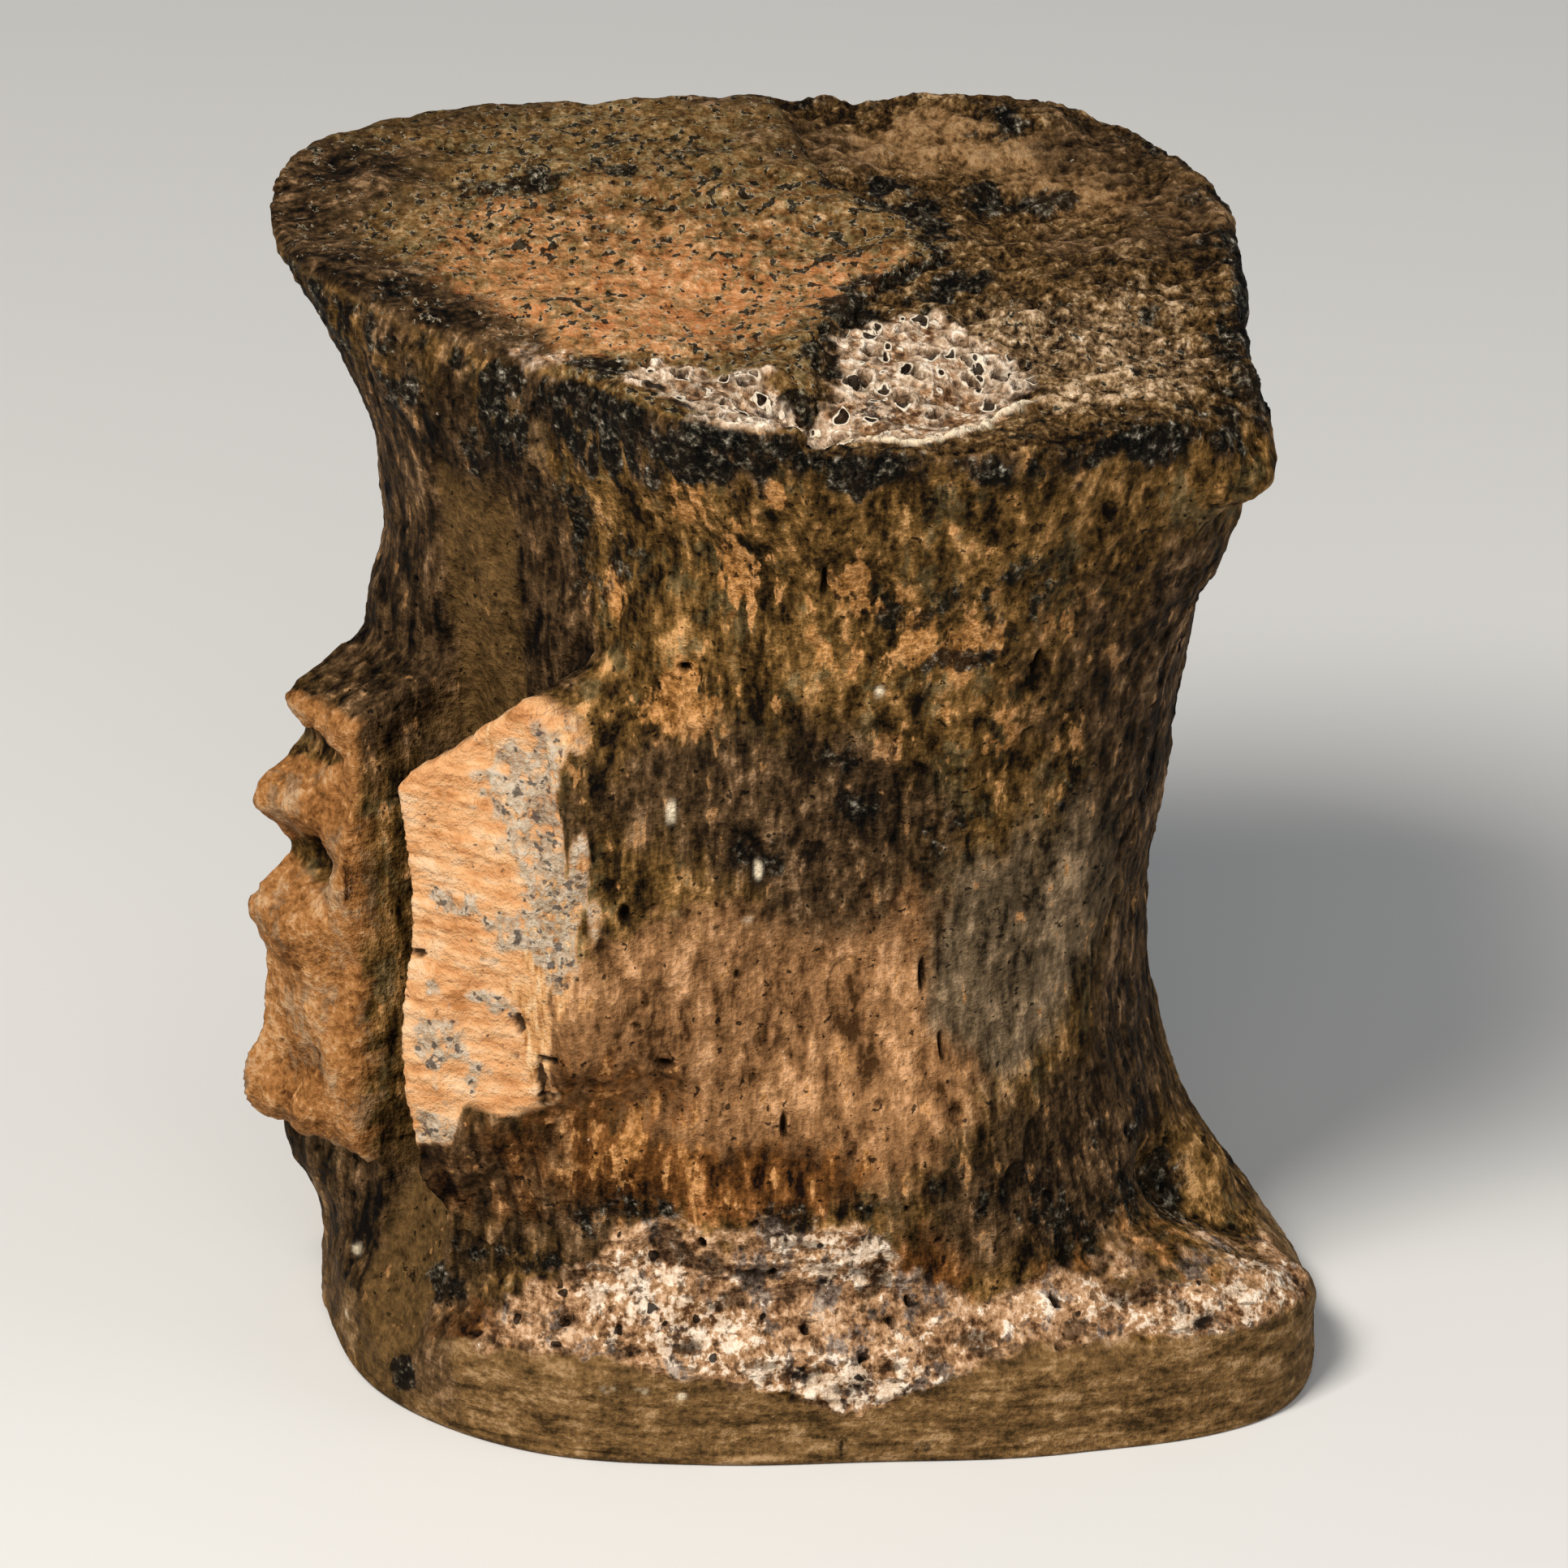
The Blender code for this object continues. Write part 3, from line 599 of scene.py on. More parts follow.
    # Open pores: a layout seen from above on the upper end, drawn out a little from near to far, and one
    # unrolled round the axis on the side
    flat = travel > UPPER_LIP_START
    layout_across = np.where(flat, 0.82 * x - 0.57 * y, angle * PORE_RADIUS / 1.25) + 0.30 * fine
    layout_up = np.where(flat, (0.57 * x + 0.82 * y) / 1.5, z) + 0.22 * grain + 0.2 * medium
    nearest, second, number = pores(layout_across, layout_up, 1.9, 21)
    pore_radius = 0.12 + 0.42 * number
    is_open = eased((number - 0.3) / 0.1)
    pore = eased((pore_radius - nearest) / 0.2 + 0.3) * is_open
    ring = hill((nearest - pore_radius - 0.2) / 0.2) * is_open
    wall = 1 - eased((second - nearest) / 0.5)
    relief += sponge_top * (0.17 * ring + 0.04 * wall - 0.8 * pore + 0.14 * medium + 0.05 * fine - 0.10)
    for along_x, along_y, wide in ROUND_PORES:
        away = np.hypot(x - along_x, (y - along_y) / 1.4) / wide
        pore = np.maximum(pore, eased((1.15 - away) / 0.3))
        ring = np.maximum(ring, hill((away - 1.6) / 0.3))
    relief += worn_end * (0.04 * ring - 0.12 * pore)
    few = eased((number - 0.8) / 0.06) * eased((0.32 - nearest) / 0.2 + 0.3)
    clots = noise(form, 1.6, 17, stretch=(1.5, 1.5, 0.75), layers=3)
    sheets = noise(form, 1.0, 18, stretch=(3, 3, 0.5), layers=2)
    relief += sponge_side * (0.30 * clots + 0.12 * sheets - 0.7 * few + 0.05 * grain)
    dotted = eased((number - 0.7) / 0.1) * eased((0.24 - nearest) / 0.16)
    dotted = dotted * eased((noise(form, 4.0, 43) + 0.1) / 0.4)
    relief -= (bare + 0.7 * near_break) * 0.25 * dotted
    slit = slit_depth(angle, z)
    relief -= slit * on_side

    # The pale line along the near edge and the pale flecks of the side
    line_y = np.interp(x, CREAM_LINE_X, CREAM_LINE_Y) + 0.3 * fine
    line = between(x, CREAM_LINE_X[0], CREAM_LINE_X[-1], 0.8) * hill((y - line_y) / 0.26)
    line = line * eased((travel - 1.95) / 0.1)
    relief += 0.3 * line
    cream = line
    for place, level, wide, tall in CREAM_SIDE:
        fleck = soft_oval(round_gap(angle, place) * FLECK_RADIUS / wide, (z - level) / tall, 0.5)
        cream = cream + fleck * on_side * eased(0.7 + fine)

    # The ring that the bone stands on stays flat and level
    standing = np.clip(eased((travel - 0.93) / 0.05) + eased((0.66 - travel) / 0.06), 0, 1)
    relief = relief * standing
    point = form + normal * relief[..., None]
    point[..., 2] = np.maximum(point[..., 2], 0.02 * (1 - standing))

    # What shows: painted shade in every pore, slit and crevice, stains with painted shade under the rim and
    # in the step, and the zones that the material reads
    crumbled = np.clip(few + 0.7 * eased((-0.42 - clots) / 0.15), 0, 1)
    # Painted shade in the open pores, slits, crevices, dents and crumbled parts
    hollow = (sponge_top + 0.3 * worn_end) * pore + sponge_side * crumbled
    hollow += (bare + near_break) * 0.7 * dotted + np.clip(slit * 1.6, 0, 1) * on_side + crevice
    # The band under the upper rim: stain with painted shade under the lip
    rim_band_stain_and_shade = stain_and_shade_under_rim(x, y, z, broad, medium, fibre) * (1 - raised) * (1 - sponge)
    stain_and_shade_share = side_zone(STAIN_AND_SHADE_SIDE, angle, z) * on_side + flat_zone(STAIN_AND_SHADE_TOP, x, y) * on_top
    # Painted shade along the foot of the broken step
    stain_and_shade_share += shade_in_step(x, y, medium) * on_top * (1 - sponge)
    stain_and_shade_share = np.maximum(stain_and_shade_share, rim_band_stain_and_shade * (on_side + 0.7 * on_top * eased((travel - 2.3) / -0.1)))
    # Darker bone with painted shade, where the sides and the far part of the upper end turn from the light
    dusk_and_shade_side = side_zone(DUSK_AND_SHADE_SIDE, angle, z) * on_side + dusk_and_shade_top * on_top
    pale_top = 0.55 * on_top * np.maximum(sponge_top, mottled_top * (1 - raised))
    pitted = np.clip(0.9 + 0.3 * noise(form, 5.0, 41, layers=2) - 0.1 * warm, 0, 1)
    pitted = raised * (1 - sponge) * pitted * (1 - 0.45 * dusk_and_shade_top) + 0.8 * worn_end * mottled_top
    shows = {
        "sponge": sponge,
        "mottled": mottled_top * on_top,
        "pitted": pitted,
        "net": np.clip(ring + 0.7 * wall, 0, 1) * sponge_top,
        "white": side_zone(WHITE_LOW, angle, z) * sponge_side + (1 - sponge_side) * pale_top,
        "broken": near_break,
        "pale_stump": pale_stump,
        "fibres": fibres,
        "knobs": far_break * (1 - canal),
        "canal": canal * (1 - near_break) * (1 - far_break),
        "stain": np.clip(stain_and_shade_share, 0, 1),
        "dusk": np.maximum(dusk_and_shade_side, 0.9 * rim_band_stain_and_shade * on_side),
        "ochre": side_zone(OCHRE_SIDE, angle, z) * on_side,
        "rosy": side_zone(ROSY_SIDE, angle, z) * on_side,
        "ash": side_zone(ASH_SIDE, angle, z) * on_side,
        "rust": side_zone(RUST_SIDE, angle, z) * on_side,
        "warm": warm,
        "ridge": flat_zone(RIDGE_TOP, x, y) * hollow_end,
        "facet": on_top,
        "low_end": hollow_end,
        "band": band,
        "cream": np.clip(cream, 0, 1),
        "hollow": np.clip(hollow, 0, 1),
        # The height of the relief, which the material turns into painted light on crests and painted shade in
        # hollows
        "worn": np.clip((relief - 0.20 * broad - 0.10 * medium) * 3.5, -1, 1),
    }
    return (point + (AXIS_X, AXIS_Y, 0)) * MM, shows


# The colour of the bone
# Iron and manganese have stained it: brown to ochre fibres with blue-black patches, an orange joint surface,
# and cream where fresh or spongy bone shows. It is dull, with painted shade in every pore, slit and crevice.


def paint(red, green, blue):
    """A colour given on the 0 to 255 scale, as linear light."""
    return tuple((value / 255) ** 2.2 for value in (red, green, blue)) + (1,)


def shader_tools(material):
    """Short ways to add nodes to one material: each returns the new node's output socket."""
    tree = material.node_tree

    def made(kind, inputs, **settings):
        """A new node with its settings. Each input is linked to a socket, or set to a plain value."""
        node = tree.nodes.new("ShaderNode" + kind)
        for name, value in settings.items():
            setattr(node, name, value)
        for name, value in inputs.items():
            if isinstance(value, bpy.types.NodeSocket):
                tree.links.new(value, node.inputs[name])
            else:
                node.inputs[name].default_value = value
        return node

    coordinates = made("TexCoord", {}).outputs["Object"]
    readers = {}

    def zone(name):
        """One kind of surface, from 0 to 1, read from the mesh."""
        if name not in readers:
            readers[name] = made("Attribute", {}, attribute_name=name)
        return readers[name].outputs["Fac"]

    def sums(operation, first, second=0.0):
        """One step of arithmetic."""
        return made("Math", {0: first, 1: second}, operation=operation).outputs[0]

    def laid(stretch, turn=(0, 0, 0)):
        """Object coordinates, turned and then drawn out along each axis."""
        inputs = {"Vector": coordinates, "Scale": stretch, "Rotation": turn}
        return made("Mapping", inputs, vector_type="TEXTURE").outputs["Vector"]

    def cloud(vector, size, detail, roughness):
        """Noise from 0 to 1, whose largest lumps are this size in mm."""
        inputs = {"Vector": vector, "Scale": 1 / MM / size, "Detail": detail, "Roughness": roughness}
        return made("TexNoise", inputs).outputs["Fac"]

    def wobbled(vector, size, amount):
        """Coordinates pushed about by noise, with both lengths in mm."""
        push = made("TexNoise", {"Vector": vector, "Scale": 1 / MM / size, "Detail": 0}).outputs["Color"]
        inputs = {0: push, 1: (2 * amount * MM,) * 3, 2: vector}
        return made("VectorMath", inputs, operation="MULTIPLY_ADD").outputs[0]

    def cells(vector, size):
        """Scattered centres: the distance in mm to the nearest one, and that one's own number."""
        texture = made("TexVoronoi", {"Vector": vector, "Scale": 1 / MM / size})
        return sums("MULTIPLY", texture.outputs["Distance"], size), texture.outputs["Color"]

    def span(value, low, high, kind="SMOOTHSTEP"):
        """0 at the low value and 1 at the high one, eased or straight between."""
        inputs = {"Value": value, "From Min": low, "From Max": high}
        return made("MapRange", inputs, interpolation_type=kind).outputs["Result"]

    def ramp(value, *stops):
        """Colours along a value: each stop is its place, red, green and blue."""
        colours = made("ValToRGB", {"Fac": value})
        elements = colours.color_ramp.elements
        while len(elements) < len(stops):
            elements.new(0.5)
        for element, (place, *colour) in zip(elements, stops):
            element.position = place
            element.color = paint(*colour)
        return colours.outputs["Color"]

    def over(share, below, above):
        """One colour laid over another by a share."""
        return made("Mix", {0: share, 6: below, 7: above}, data_type="RGBA").outputs[2]

    return made, zone, sums, laid, cloud, wobbled, cells, span, ramp, over


def fossil_bone():
    """Mineralised bone: a mottled tone from several noises, coloured zone by zone, with stains, painted shade
    and flecks.
    """
    material = bpy.data.materials.new("fossil_bone")
    material.use_nodes = True
    tree = material.node_tree
    surface = tree.nodes["Principled BSDF"]
    made, zone, sums, laid, cloud, wobbled, cells, span, ramp, over = shader_tools(material)

    def blend(*parts):
        """The sum of noises, each with its own share."""
        total = 0.0
        for value, share in parts:
            total = sums("ADD", sums("MULTIPLY", value, share), total)
        return total

    def both(first, second):
        """The share that two zones have in common."""
        return sums("MULTIPLY", first, second)

    def less(share, amount=1.0):
        """What a zone leaves, all of it or an amount."""
        return sums("SUBTRACT", 1.0, sums("MULTIPLY", share, amount))

    def patch(name, rough, amount=2.0, low=0.2, high=0.8):
        """A zone with a mottled edge: noise moves its value where it lies between nothing and full."""
        value = zone(name)
        edge = sums("MULTIPLY", both(value, less(value)), 4 * amount)
        return span(sums("ADD", value, both(edge, sums("SUBTRACT", rough, 0.5))), low, high)

    def scattered(name, rough, empty, full, soft):
        """Spots of noise that are rare outside a zone and crowd together inside it."""
        limit = sums("ADD", sums("MULTIPLY", zone(name), full - empty), empty)
        return span(sums("SUBTRACT", rough, limit), -soft, soft)

    def lay(share, tint, strength=None):
        """Lays a colour over all that are there so far."""
        nonlocal colour
        colour = over(share if strength is None else both(share, strength), colour, tint)

    # Noises by the size in mm of their largest lumps
    even = laid((1, 1.8, 1), (0, 0, -0.6))
    along = laid((1, 1, 2.4))
    fibrous = laid((1, 1, 5))
    level = laid((4, 4, 1))
    wide_mottle = cloud(along, 3.2, 4.5, 0.66)
    mottle = cloud(even, 1.5, 3.5, 0.62)
    small_mottle = cloud(even, 0.8, 3, 0.6)
    flecks = cloud(along, 1.0, 3, 0.6)
    threads = cloud(fibrous, 0.45, 2.5, 0.6)
    grain = cloud(even, 0.42, 2.5, 0.7)
    blotch = cloud(laid((1, 1.5, 1.6), (0.1, 0, -0.6)), 2.4, 4.5, 0.7)
    clots = cloud(even, 1.1, 3.5, 0.62)
    dots = cloud(even, 0.62, 2, 0.55)
    sheets = cloud(level, 0.8, 3, 0.63)
    worn = zone("worn")

    # Three tones from dark to light, each from noises mixed with the height of the worn surface, as painted
    # light on its crests and painted shade in its hollows
    tone = blend((wide_mottle, 0.34), (flecks, 0.34), (threads, 0.16), (grain, 0.16), (worn, 0.055))
    tone = span(tone, 0.41, 0.59, "LINEAR")
    crumbly = blend((mottle, 0.25), (clots, 0.25), (grain, 0.50), (worn, 0.055))
    crumbly = span(crumbly, 0.39, 0.61, "LINEAR")
    calm = blend((wide_mottle, 0.25), (clots, 0.35), (grain, 0.40), (worn, 0.055))
    calm = span(calm, 0.38, 0.62, "LINEAR")

    # The side: olive brown with ochre, pinkish, grey and rusty parts
    colour = ramp(
        tone, (0, 18, 12, 5), (0.3, 60, 44, 22), (0.6, 100, 74, 40), (0.85, 140, 104, 62), (1, 178, 136, 88)
    )
    olive = ramp(tone, (0, 24, 20, 12), (0.5, 80, 70, 46), (1, 126, 112, 82))
    lay(span(blotch, 0.54, 0.60), olive, 0.6)
    rosy = ramp(tone, (0, 62, 42, 24), (0.4, 118, 84, 54), (0.7, 148, 108, 72), (1, 190, 144, 104))
    lay(patch("rosy", mottle, 1.6), rosy)
    ash = ramp(tone, (0, 34, 28, 20), (0.4, 82, 68, 50), (0.7, 106, 88, 67), (1, 146, 122, 94))
    lay(patch("ash", wide_mottle, 1.8), ash)
    rust = ramp(tone, (0, 24, 13, 5), (0.4, 76, 48, 23), (0.75, 118, 77, 41), (1, 168, 114, 70))
    lay(patch("rust", flecks, 2.4), rust)
    ochre = ramp(crumbly, (0, 100, 66, 32), (0.5, 158, 110, 62), (1, 208, 155, 102))
    patchy = blend((wide_mottle, 0.5), (flecks, 0.5))
    lay(scattered("ochre", patchy, 0.67, 0.44, 0.03), ochre, 0.85)
    streaks = blend((sheets, 0.50), (mottle, 0.2), (grain, 0.30), (worn, 0.05))
    streaks = span(streaks, 0.39, 0.60, "LINEAR")
    band = ramp(streaks, (0, 54, 41, 24), (0.35, 89, 67, 41), (0.65, 112, 85, 53), (1, 148, 118, 84))
    lay(patch("band", mottle, 0.8), band)

    # The upper end: a tan and orange joint surface with pits and pale flakes, and a worn lower part
    facet = ramp(
        calm, (0, 38, 27, 13), (0.35, 78, 57, 32), (0.6, 106, 80, 47), (0.85, 132, 103, 67), (1, 162, 134, 97)
    )
    lay(zone("facet"), facet)
    low_end = ramp(
        crumbly, (0, 16, 10, 4), (0.3, 48, 35, 19), (0.6, 82, 61, 36), (0.85, 112, 87, 57), (1, 150, 123, 90)
    )
    lay(zone("low_end"), low_end)
    warm = ramp(
        calm, (0, 92, 62, 34), (0.3, 138, 96, 58), (0.6, 162, 116, 74), (0.85, 184, 140, 98),
        (1, 206, 168, 130)
    )
    lay(patch("warm", clots, 3.0, 0.1, 0.9), warm)
    glow = ramp(calm, (0, 132, 78, 42), (0.5, 176, 112, 68), (1, 206, 152, 108))
    in_warm = both(zone("warm"), span(mottle, 0.46, 0.56))
    lay(in_warm, glow, 0.75)
    mossy = ramp(crumbly, (0, 66, 57, 34), (0.5, 108, 92, 61), (1, 146, 126, 93))
    lay(both(zone("pitted"), span(small_mottle, 0.52, 0.56)), mossy, 0.75)
    ridge = ramp(crumbly, (0, 60, 43, 25), (0.5, 118, 89, 58), (1, 146, 116, 83))
    lay(patch("ridge", mottle, 1.8), ridge)
    pinkish = ramp(crumbly, (0, 28, 20, 12), (0.4, 90, 70, 48), (0.7, 140, 114, 84), (1, 188, 162, 132))
    lay(patch("mottled", small_mottle, 2.6), pinkish)

    # Darker and duller parts of both, darker bone with painted shade on the sides turned from the light and
    # on the far part of the upper end; the canal, and the knobs of the far stub
    dusk = ramp(
        tone, (0, 9, 7, 5), (0.35, 40, 30, 19), (0.65, 70, 53, 35), (0.9, 98, 75, 52), (1, 128, 101, 74)
    )
    lay(patch("dusk", wide_mottle, 1.8), dusk)
    canal = ramp(calm, (0, 48, 36, 20), (0.5, 78, 59, 35), (1, 104, 79, 48))
    lay(patch("canal", mottle, 1.2, 0.3, 1.0), canal)
    knobs = ramp(calm, (0, 80, 50, 26), (0.4, 124, 83, 46), (0.7, 150, 104, 62), (1, 172, 134, 96))
    lay(zone("knobs"), knobs)
    greyed = both(span(blotch, 0.52, 0.62), sums("MULTIPLY", zone("knobs"), 0.5))
    lay(greyed, ramp(calm, (0, 82, 68, 50), (1, 150, 132, 108)))

    # Manganese in blue-black spots with painted glints at their palest, black pores, pale flakes, and painted
    # shade in the small pits of the joint surface
    fleck = ramp(grain, (0.35, 134, 92, 50), (0.65, 198, 146, 96))
    bright = both(scattered("ochre", flecks, 0.67, 0.58, 0.02), less(zone("dusk"), 0.7))
    bright = both(bright, both(less(zone("facet")), less(zone("band"))))
    lay(bright, fleck, 0.85)
    salted = blend((small_mottle, 0.45), (grain, 0.55))
    # Its palest stops are painted glints on the blue-black
    stain = ramp(
        salted, (0.42, 2, 3, 2), (0.49, 9, 10, 8), (0.55, 44, 41, 34), (0.61, 92, 86, 74),
        (0.67, 156, 149, 136)
    )
    # Blue-black stains, with the painted shade under the rim and along the step
    lay(scattered("stain", blotch, 0.72, 0.38, 0.06), stain, 0.92)
    plain = both(both(less(zone("facet")), less(zone("band"))), less(zone("knobs")))
    specks = span(dots, 0.665, 0.69)
    lay(both(specks, plain), paint(12, 9, 5), 0.85)
    blots = both(span(blotch, 0.36, 0.32), both(less(zone("rosy"), 0.8), less(zone("canal"), 0.7)))
    lay(both(blots, plain), paint(16, 12, 8), 0.75)
    # Painted shade of the small pits of the joint surface
    pits = both(scattered("pitted", dots, 0.74, 0.577, 0.02), zone("facet"))
    flakes = both(scattered("pitted", dots, 0.72, 0.555, 0.02), span(grain, 0.47, 0.53))
    flakes = both(flakes, zone("facet"))
    lay(flakes, paint(180, 165, 138), 0.7)
    lay(pits, paint(20, 18, 12), 0.92)

    # Fresh breaks
    sheeted = span(blend((sheets, 0.6), (mottle, 0.4), (worn, 0.055)), 0.36, 0.62, "LINEAR")
    fresh = ramp(sheeted, (0, 156, 105, 64), (0.25, 184, 130, 85), (0.6, 198, 149, 104), (1, 206, 169, 132))
    lay(zone("broken"), fresh)
    thready = ramp(threads, (0.35, 142, 95, 54), (0.5, 190, 142, 94), (0.64, 208, 172, 130))
    lay(zone("fibres"), thready)
    chalky = ramp(crumbly, (0, 94, 81, 67), (0.3, 138, 121, 102), (0.6, 160, 144, 123), (1, 180, 167, 149))
    chalk_share = span(blend((small_mottle, 0.6), (grain, 0.4)), 0.38, 0.52)
    chalk_share = both(patch("pale_stump", mottle, 1.6, 0.0, 1.0), chalk_share)
    lay(chalk_share, chalky, 0.9)
    chalk_specks = both(scattered("pale_stump", dots, 0.72, 0.60, 0.03), zone("broken"))
    lay(chalk_specks, paint(60, 56, 54), 0.8)

    # Spongy bone: crumbly buff and grey, pale clots, painted shade between them, and on the upper end white
    # rings round open pores
    buff = ramp(crumbly, (0, 66, 44, 28), (0.35, 124, 92, 64), (0.7, 166, 129, 96), (1, 198, 165, 134))
    violet = ramp(crumbly, (0, 40, 32, 28), (0.5, 100, 84, 72), (1, 160, 142, 126))
    lay(zone("sponge"), over(span(blotch, 0.53, 0.60), buff, violet))
    cream = ramp(crumbly, (0, 122, 102, 82), (0.35, 172, 149, 124), (0.7, 202, 181, 158), (1, 224, 210, 190))
    crumbs = blend((clots, 0.8), (grain, 0.4), (zone("sponge"), 0.08), (1.0, -0.1))
    pale = scattered("white", crumbs, 0.76, 0.56, 0.025)
    lay(pale, cream, 0.72)
    # Painted shade in the low places of the spongy bone
    crannies = span(blend((small_mottle, 0.7), (grain, 0.3)), 0.44, 0.39)
    gap_shade = sums("MAXIMUM", span(sheets, 0.42, 0.37), crannies)
    lay(both(zone("sponge"), gap_shade), paint(50, 38, 28), 0.62)

    # Its round pores: the distance out from the nearest pore's edge gives the hole and the ring round it; the
    # hole holds painted shade
    away, number = cells(wobbled(even, 0.7, 0.35), 1.25)
    on_top = both(zone("sponge"), zone("facet"))
    on_side = both(zone("sponge"), less(zone("facet")))
    gap = sums("SUBTRACT", away, both(blend((number, 0.36), (1.0, 0.06)), less(on_side, 0.3)))
    hole = span(gap, 0.05, -0.02)
    ring = span(sums("ABSOLUTE", sums("SUBTRACT", gap, 0.11)), 0.11, 0.04)
    rings = sums("MAXIMUM", zone("net"), both(ring, on_top))
    lay(rings, cream, 0.9)
    ring_top = both(span(ring, 0.2, 0.9), on_top)
    lay(ring_top, paint(218, 203, 180), 0.75)
    few = both(span(number, 0.68, 0.71), on_side)
    holes = both(hole, sums("ADD", on_top, few))
    lay(zone("cream"), paint(222, 204, 174))
    # Painted shade in the open pores
    lay(holes, paint(22, 15, 10), 0.92)
    # Painted shade: near black in every pore, slit and crevice
    lay(zone("hollow"), paint(12, 9, 6), 0.92)
    tree.links.new(colour, surface.inputs["Base Color"])

    gloss = blend((grain, 0.4), (1.0, 0.52), (zone("stain"), -0.1))
    tree.links.new(gloss, surface.inputs["Roughness"])
    surface.inputs["Specular IOR Level"].default_value = 0.05

    height = blend((threads, 0.4), (grain, 0.9), (holes, -1.5), (rings, 0.5))
    bump = made("Bump", {"Height": height, "Strength": 1.0, "Distance": 0.35 * MM})
    tree.links.new(bump.outputs["Normal"], surface.inputs["Normal"])
    return material


BONE = fossil_bone()


# The skin
# One surface covers the whole bone, made as eight closed pieces so that each can be fine enough to hold the
# pores. Each piece reaches a little under its neighbours, and a fan to a point inside closes its back.

FINENESS = 1.0
OVERLAP = 0.006
TUCK_DEPTH = 0.9 * MM


def bone_piece(name, angle, travel, tuck_angle, tuck_travel, inside, turned=False):
    """One closed piece: a grid of the worn surface, two rings that tuck its border in, a fan to a point."""
    rows, columns = angle.shape
    count = rows * columns
    ring_length = tuck_angle.shape[1]
    all_angle = np.concatenate([angle.ravel(), tuck_angle.ravel()])
    all_travel = np.concatenate([travel.ravel(), tuck_travel.ravel()])
    points, shows = weathered(all_angle, all_travel)
    last = slice(count + ring_length, None)
    points[last] -= outward(all_angle[last], all_travel[last]) * TUCK_DEPTH
    points = np.concatenate([points, [inside]])

    number = np.arange(count).reshape(rows, columns)
    quads = np.stack([number[:-1, :-1], number[:-1, 1:], number[1:, 1:], number[1:, :-1]], axis=-1)
    first_ring = count + np.arange(ring_length)
    second_ring = first_ring + ring_length
    skirt = [quads.reshape(-1, 4)]
    for inner, outer in ((border(number), first_ring), (first_ring, second_ring)):
        skirt.append(np.stack([inner, outer, np.roll(outer, -1), np.roll(inner, -1)], axis=-1))
    middle = np.full(ring_length, len(points) - 1)
    fan = np.stack([second_ring, middle, np.roll(second_ring, -1)], axis=-1)
    faces = [np.concatenate(skirt), fan]
    if turned:
        faces = [face[:, ::-1] for face in faces]

    mesh = bpy.data.meshes.new(name)
    mesh.vertices.add(len(points))
    mesh.vertices.foreach_set("co", points.astype(np.float32).ravel())
    corners = np.concatenate([face.ravel() for face in faces])
    sizes = np.concatenate([np.full(len(face), face.shape[1]) for face in faces])
    mesh.loops.add(len(corners))
    mesh.loops.foreach_set("vertex_index", corners.astype(np.int32))
    mesh.polygons.add(len(sizes))
    mesh.polygons.foreach_set("loop_start", (np.cumsum(sizes) - sizes).astype(np.int32))
    mesh.polygons.foreach_set("loop_total", sizes.astype(np.int32))
    mesh.update(calc_edges=True)
    mesh.shade_smooth()
    for kind, values in shows.items():
        layer = mesh.attributes.new(kind, "FLOAT", "POINT")
        layer.data.foreach_set("value", np.append(values, 0).astype(np.float32))
    mesh.materials.append(BONE)
    piece = bpy.data.objects.new(name, mesh)
    bpy.context.scene.collection.objects.link(piece)
    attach(piece, "root")
    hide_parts("vertebra")


def border(grid):
    """The values of a grid along its border, once round against the clock."""
    return np.concatenate([grid[0, :-1], grid[:-1, -1], grid[-1, :0:-1], grid[:0:-1, 0]])


def near_axis(degrees, reach, height):
    """A point inside the bone, in metres: a short reach from the axis in one direction, at a height in mm."""
    turn = math.radians(degrees)
    return np.array([AXIS_X + reach * math.cos(turn), AXIS_Y + reach * math.sin(turn), height]) * MM


def side_piece(name, first, last, low, high, columns, rows):
    """A piece of the side between two angles in degrees and two travels, as an even grid of both."""
    columns, rows = int(columns * FINENESS), int(rows * FINENESS)
    angle, travel = np.meshgrid(np.radians(np.linspace(first, last, columns)), np.linspace(low, high, rows))
    sideways, upward = np.meshgrid(np.sign(np.arange(columns) - 0.5), np.sign(np.arange(rows) - 0.5))
    sideways[:, 1:-1] = 0
    upward[1:-1] = 0
    rings = np.array([[1.0], [2.0]])
    tuck_angle = border(angle) + rings * border(sideways) * OVERLAP
    tuck_travel = border(travel) + rings * border(upward) * OVERLAP / 2
    inside = near_axis((first + last) / 2, 9, (low + high - 2) / 2 * HEIGHT)
    bone_piece(name, angle, travel, tuck_angle, tuck_travel, inside)


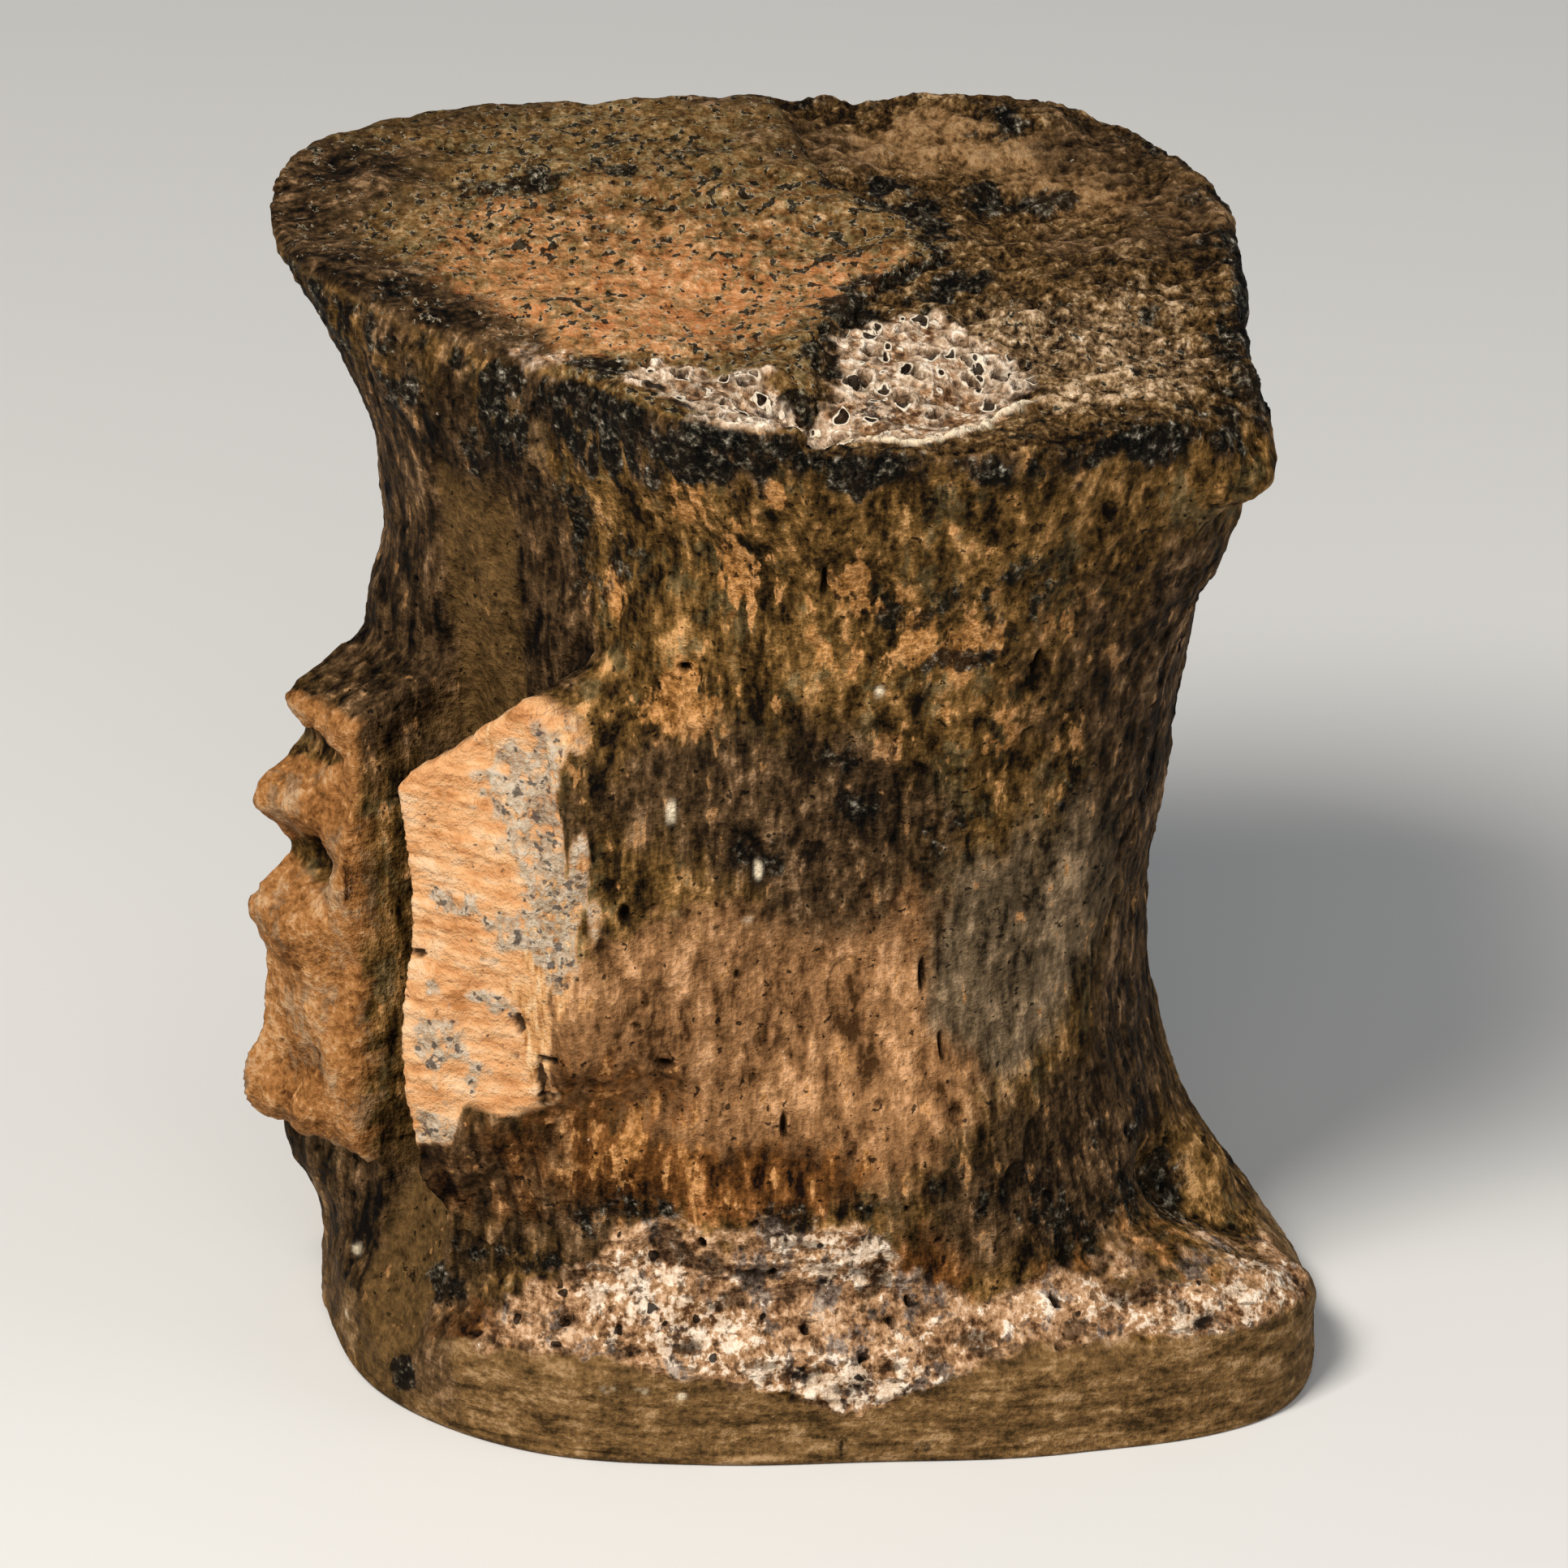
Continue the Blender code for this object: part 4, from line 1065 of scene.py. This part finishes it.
def end_piece(name, nearest, steps, rows, columns, travel_at, inside_height, turned=False):
    """A piece of an end: a square grid of s and t drawn out to a disc or half one, s sqrt(1 - t*t/2) across
    and t sqrt(1 - s*s/2) along, turned to the nearest angle. Travel comes from the distance to the middle."""
    columns, rows = int(columns * FINENESS), int(rows * FINENESS)
    sideways, onward = np.meshgrid(np.linspace(-1, 1, columns), np.linspace(steps[0], steps[1], rows))
    across = sideways * np.sqrt(1 - onward**2 / 2)
    along = onward * np.sqrt(1 - sideways**2 / 2)
    rim_across, rim_along = border(across), border(along)
    distance = np.hypot(rim_across, rim_along)
    on_rim = distance > 0.999
    on_cut = (np.abs(border(onward) - steps[0]) < TINY) & (steps[0] == 0)
    safe = np.maximum(distance, TINY)
    rings = np.array([[1.0], [2.0]]) * OVERLAP
    tuck_across = rim_across + rings * on_rim * rim_across / safe
    tuck_along = rim_along + rings * (on_rim * rim_along / safe - on_cut)
    turn = math.radians(nearest - 90)
    grid = np.arctan2(along, across) + turn, travel_at(np.hypot(across, along))
    tuck = np.arctan2(tuck_along, tuck_across) + turn, travel_at(np.hypot(tuck_across, tuck_along))
    reach = 8 if steps[0] == 0 else 0
    bone_piece(name, *grid, *tuck, near_axis(nearest, reach, inside_height), turned)


def from_top(distance):
    """Travel on the upper end, which runs in to its middle."""
    return 3 - distance


def from_foot(distance):
    """Travel on the lower end, which runs out from its middle."""
    return distance


end_piece("vertebra_upper_end_near", 250, (0, 1), 226, 420, from_top, 50)
end_piece("vertebra_upper_end_far", 70, (0, 1), 180, 330, from_top, 50)
side_piece("vertebra_near_lower_flank", 181, 325, 1.0, 1.22, 450, 130)
side_piece("vertebra_near_flank", 181, 301, 1.22, 2.0, 350, 260)
side_piece("vertebra_ventral_flank", 301, 422, 1.22, 2.0, 250, 210)
side_piece("vertebra_dorsal_flank", 62, 181, 1.22, 2.0, 270, 230)
side_piece("vertebra_far_lower_flank", 325, 541, 1.0, 1.22, 330, 70)
end_piece("vertebra_foot", 250, (-1, 1), 200, 200, from_foot, 8, turned=True)


# Floor, light and camera
# The bone stands on a plain pale floor. A large soft light comes from the upper left, a weak one fills the
# right side, and a long lens looks at it a little from above, with the dorsal side to the left.

CAMERA_TURN, CAMERA_RISE = math.radians(-35), math.radians(22.5)
CAMERA_DISTANCE = 0.6
FRAME_WIDTH = 0.0966
TARGET = np.array([AXIS_X, AXIS_Y, 33.5]) * MM


def plain_floor():
    """A wide flat sheet under the bone."""
    half = 4.0
    corners = [(-half, -half, 0), (half, -half, 0), (half, half, 0), (-half, half, 0)]
    mesh = bpy.data.meshes.new("floor")
    mesh.from_pydata(corners, [], [(0, 1, 2, 3)])
    material = bpy.data.materials.new("pale_floor")
    material.use_nodes = True
    surface = material.node_tree.nodes["Principled BSDF"]
    surface.inputs["Base Color"].default_value = (0.62, 0.61, 0.59, 1)
    surface.inputs["Roughness"].default_value = 0.8
    mesh.materials.append(material)
    floor = bpy.data.objects.new("floor", mesh)
    bpy.context.scene.collection.objects.link(floor)


def aimed(thing, place, target):
    """Stands a light or the camera at a place, looking at the target."""
    standing = bpy.data.objects.new(thing.name, thing)
    bpy.context.scene.collection.objects.link(standing)
    away = place - target
    standing.location = place
    across = math.hypot(away[0], away[1])
    standing.rotation_euler = (math.atan2(across, away[2]), 0, math.atan2(away[0], -away[1]))
    return standing


def direction(turn, rise):
    """A unit step away from the bone, turned round it from -Y and raised, both in radians."""
    return np.array([math.sin(turn) * math.cos(rise), -math.cos(turn) * math.cos(rise), math.sin(rise)])


def soft_light(name, turn, rise, distance, size, power, colour):
    """A square soft light, turned from the camera's side and raised, both in degrees."""
    lamp = bpy.data.lights.new(name, "AREA")
    lamp.size = size
    lamp.energy = power
    lamp.color = colour
    away = direction(CAMERA_TURN + math.radians(turn), math.radians(rise))
    aimed(lamp, TARGET + away * distance, TARGET)


plain_floor()
soft_light("key_light", -32, 48, 0.8, 0.26, 8.6, (1.0, 0.96, 0.90))
soft_light("fill_light", 70, 25, 1.0, 0.6, 2.0, (0.88, 0.94, 1.0))
soft_light("front_light", 5, 35, 1.0, 0.5, 2.4, (1.0, 0.98, 0.95))

world = bpy.data.worlds.new("studio")
bpy.context.scene.world = world
world.use_nodes = True
world.node_tree.nodes["Background"].inputs["Color"].default_value = (0.9, 0.94, 1.0, 1)
world.node_tree.nodes["Background"].inputs["Strength"].default_value = 0.22
bpy.context.scene.view_settings.view_transform = "Standard"

lens = bpy.data.cameras.new("camera")
lens.sensor_width = 36
lens.lens = lens.sensor_width * CAMERA_DISTANCE / FRAME_WIDTH
lens.clip_start = 0.01
camera_place = TARGET + direction(CAMERA_TURN, CAMERA_RISE) * CAMERA_DISTANCE
bpy.context.scene.camera = aimed(lens, camera_place, TARGET)
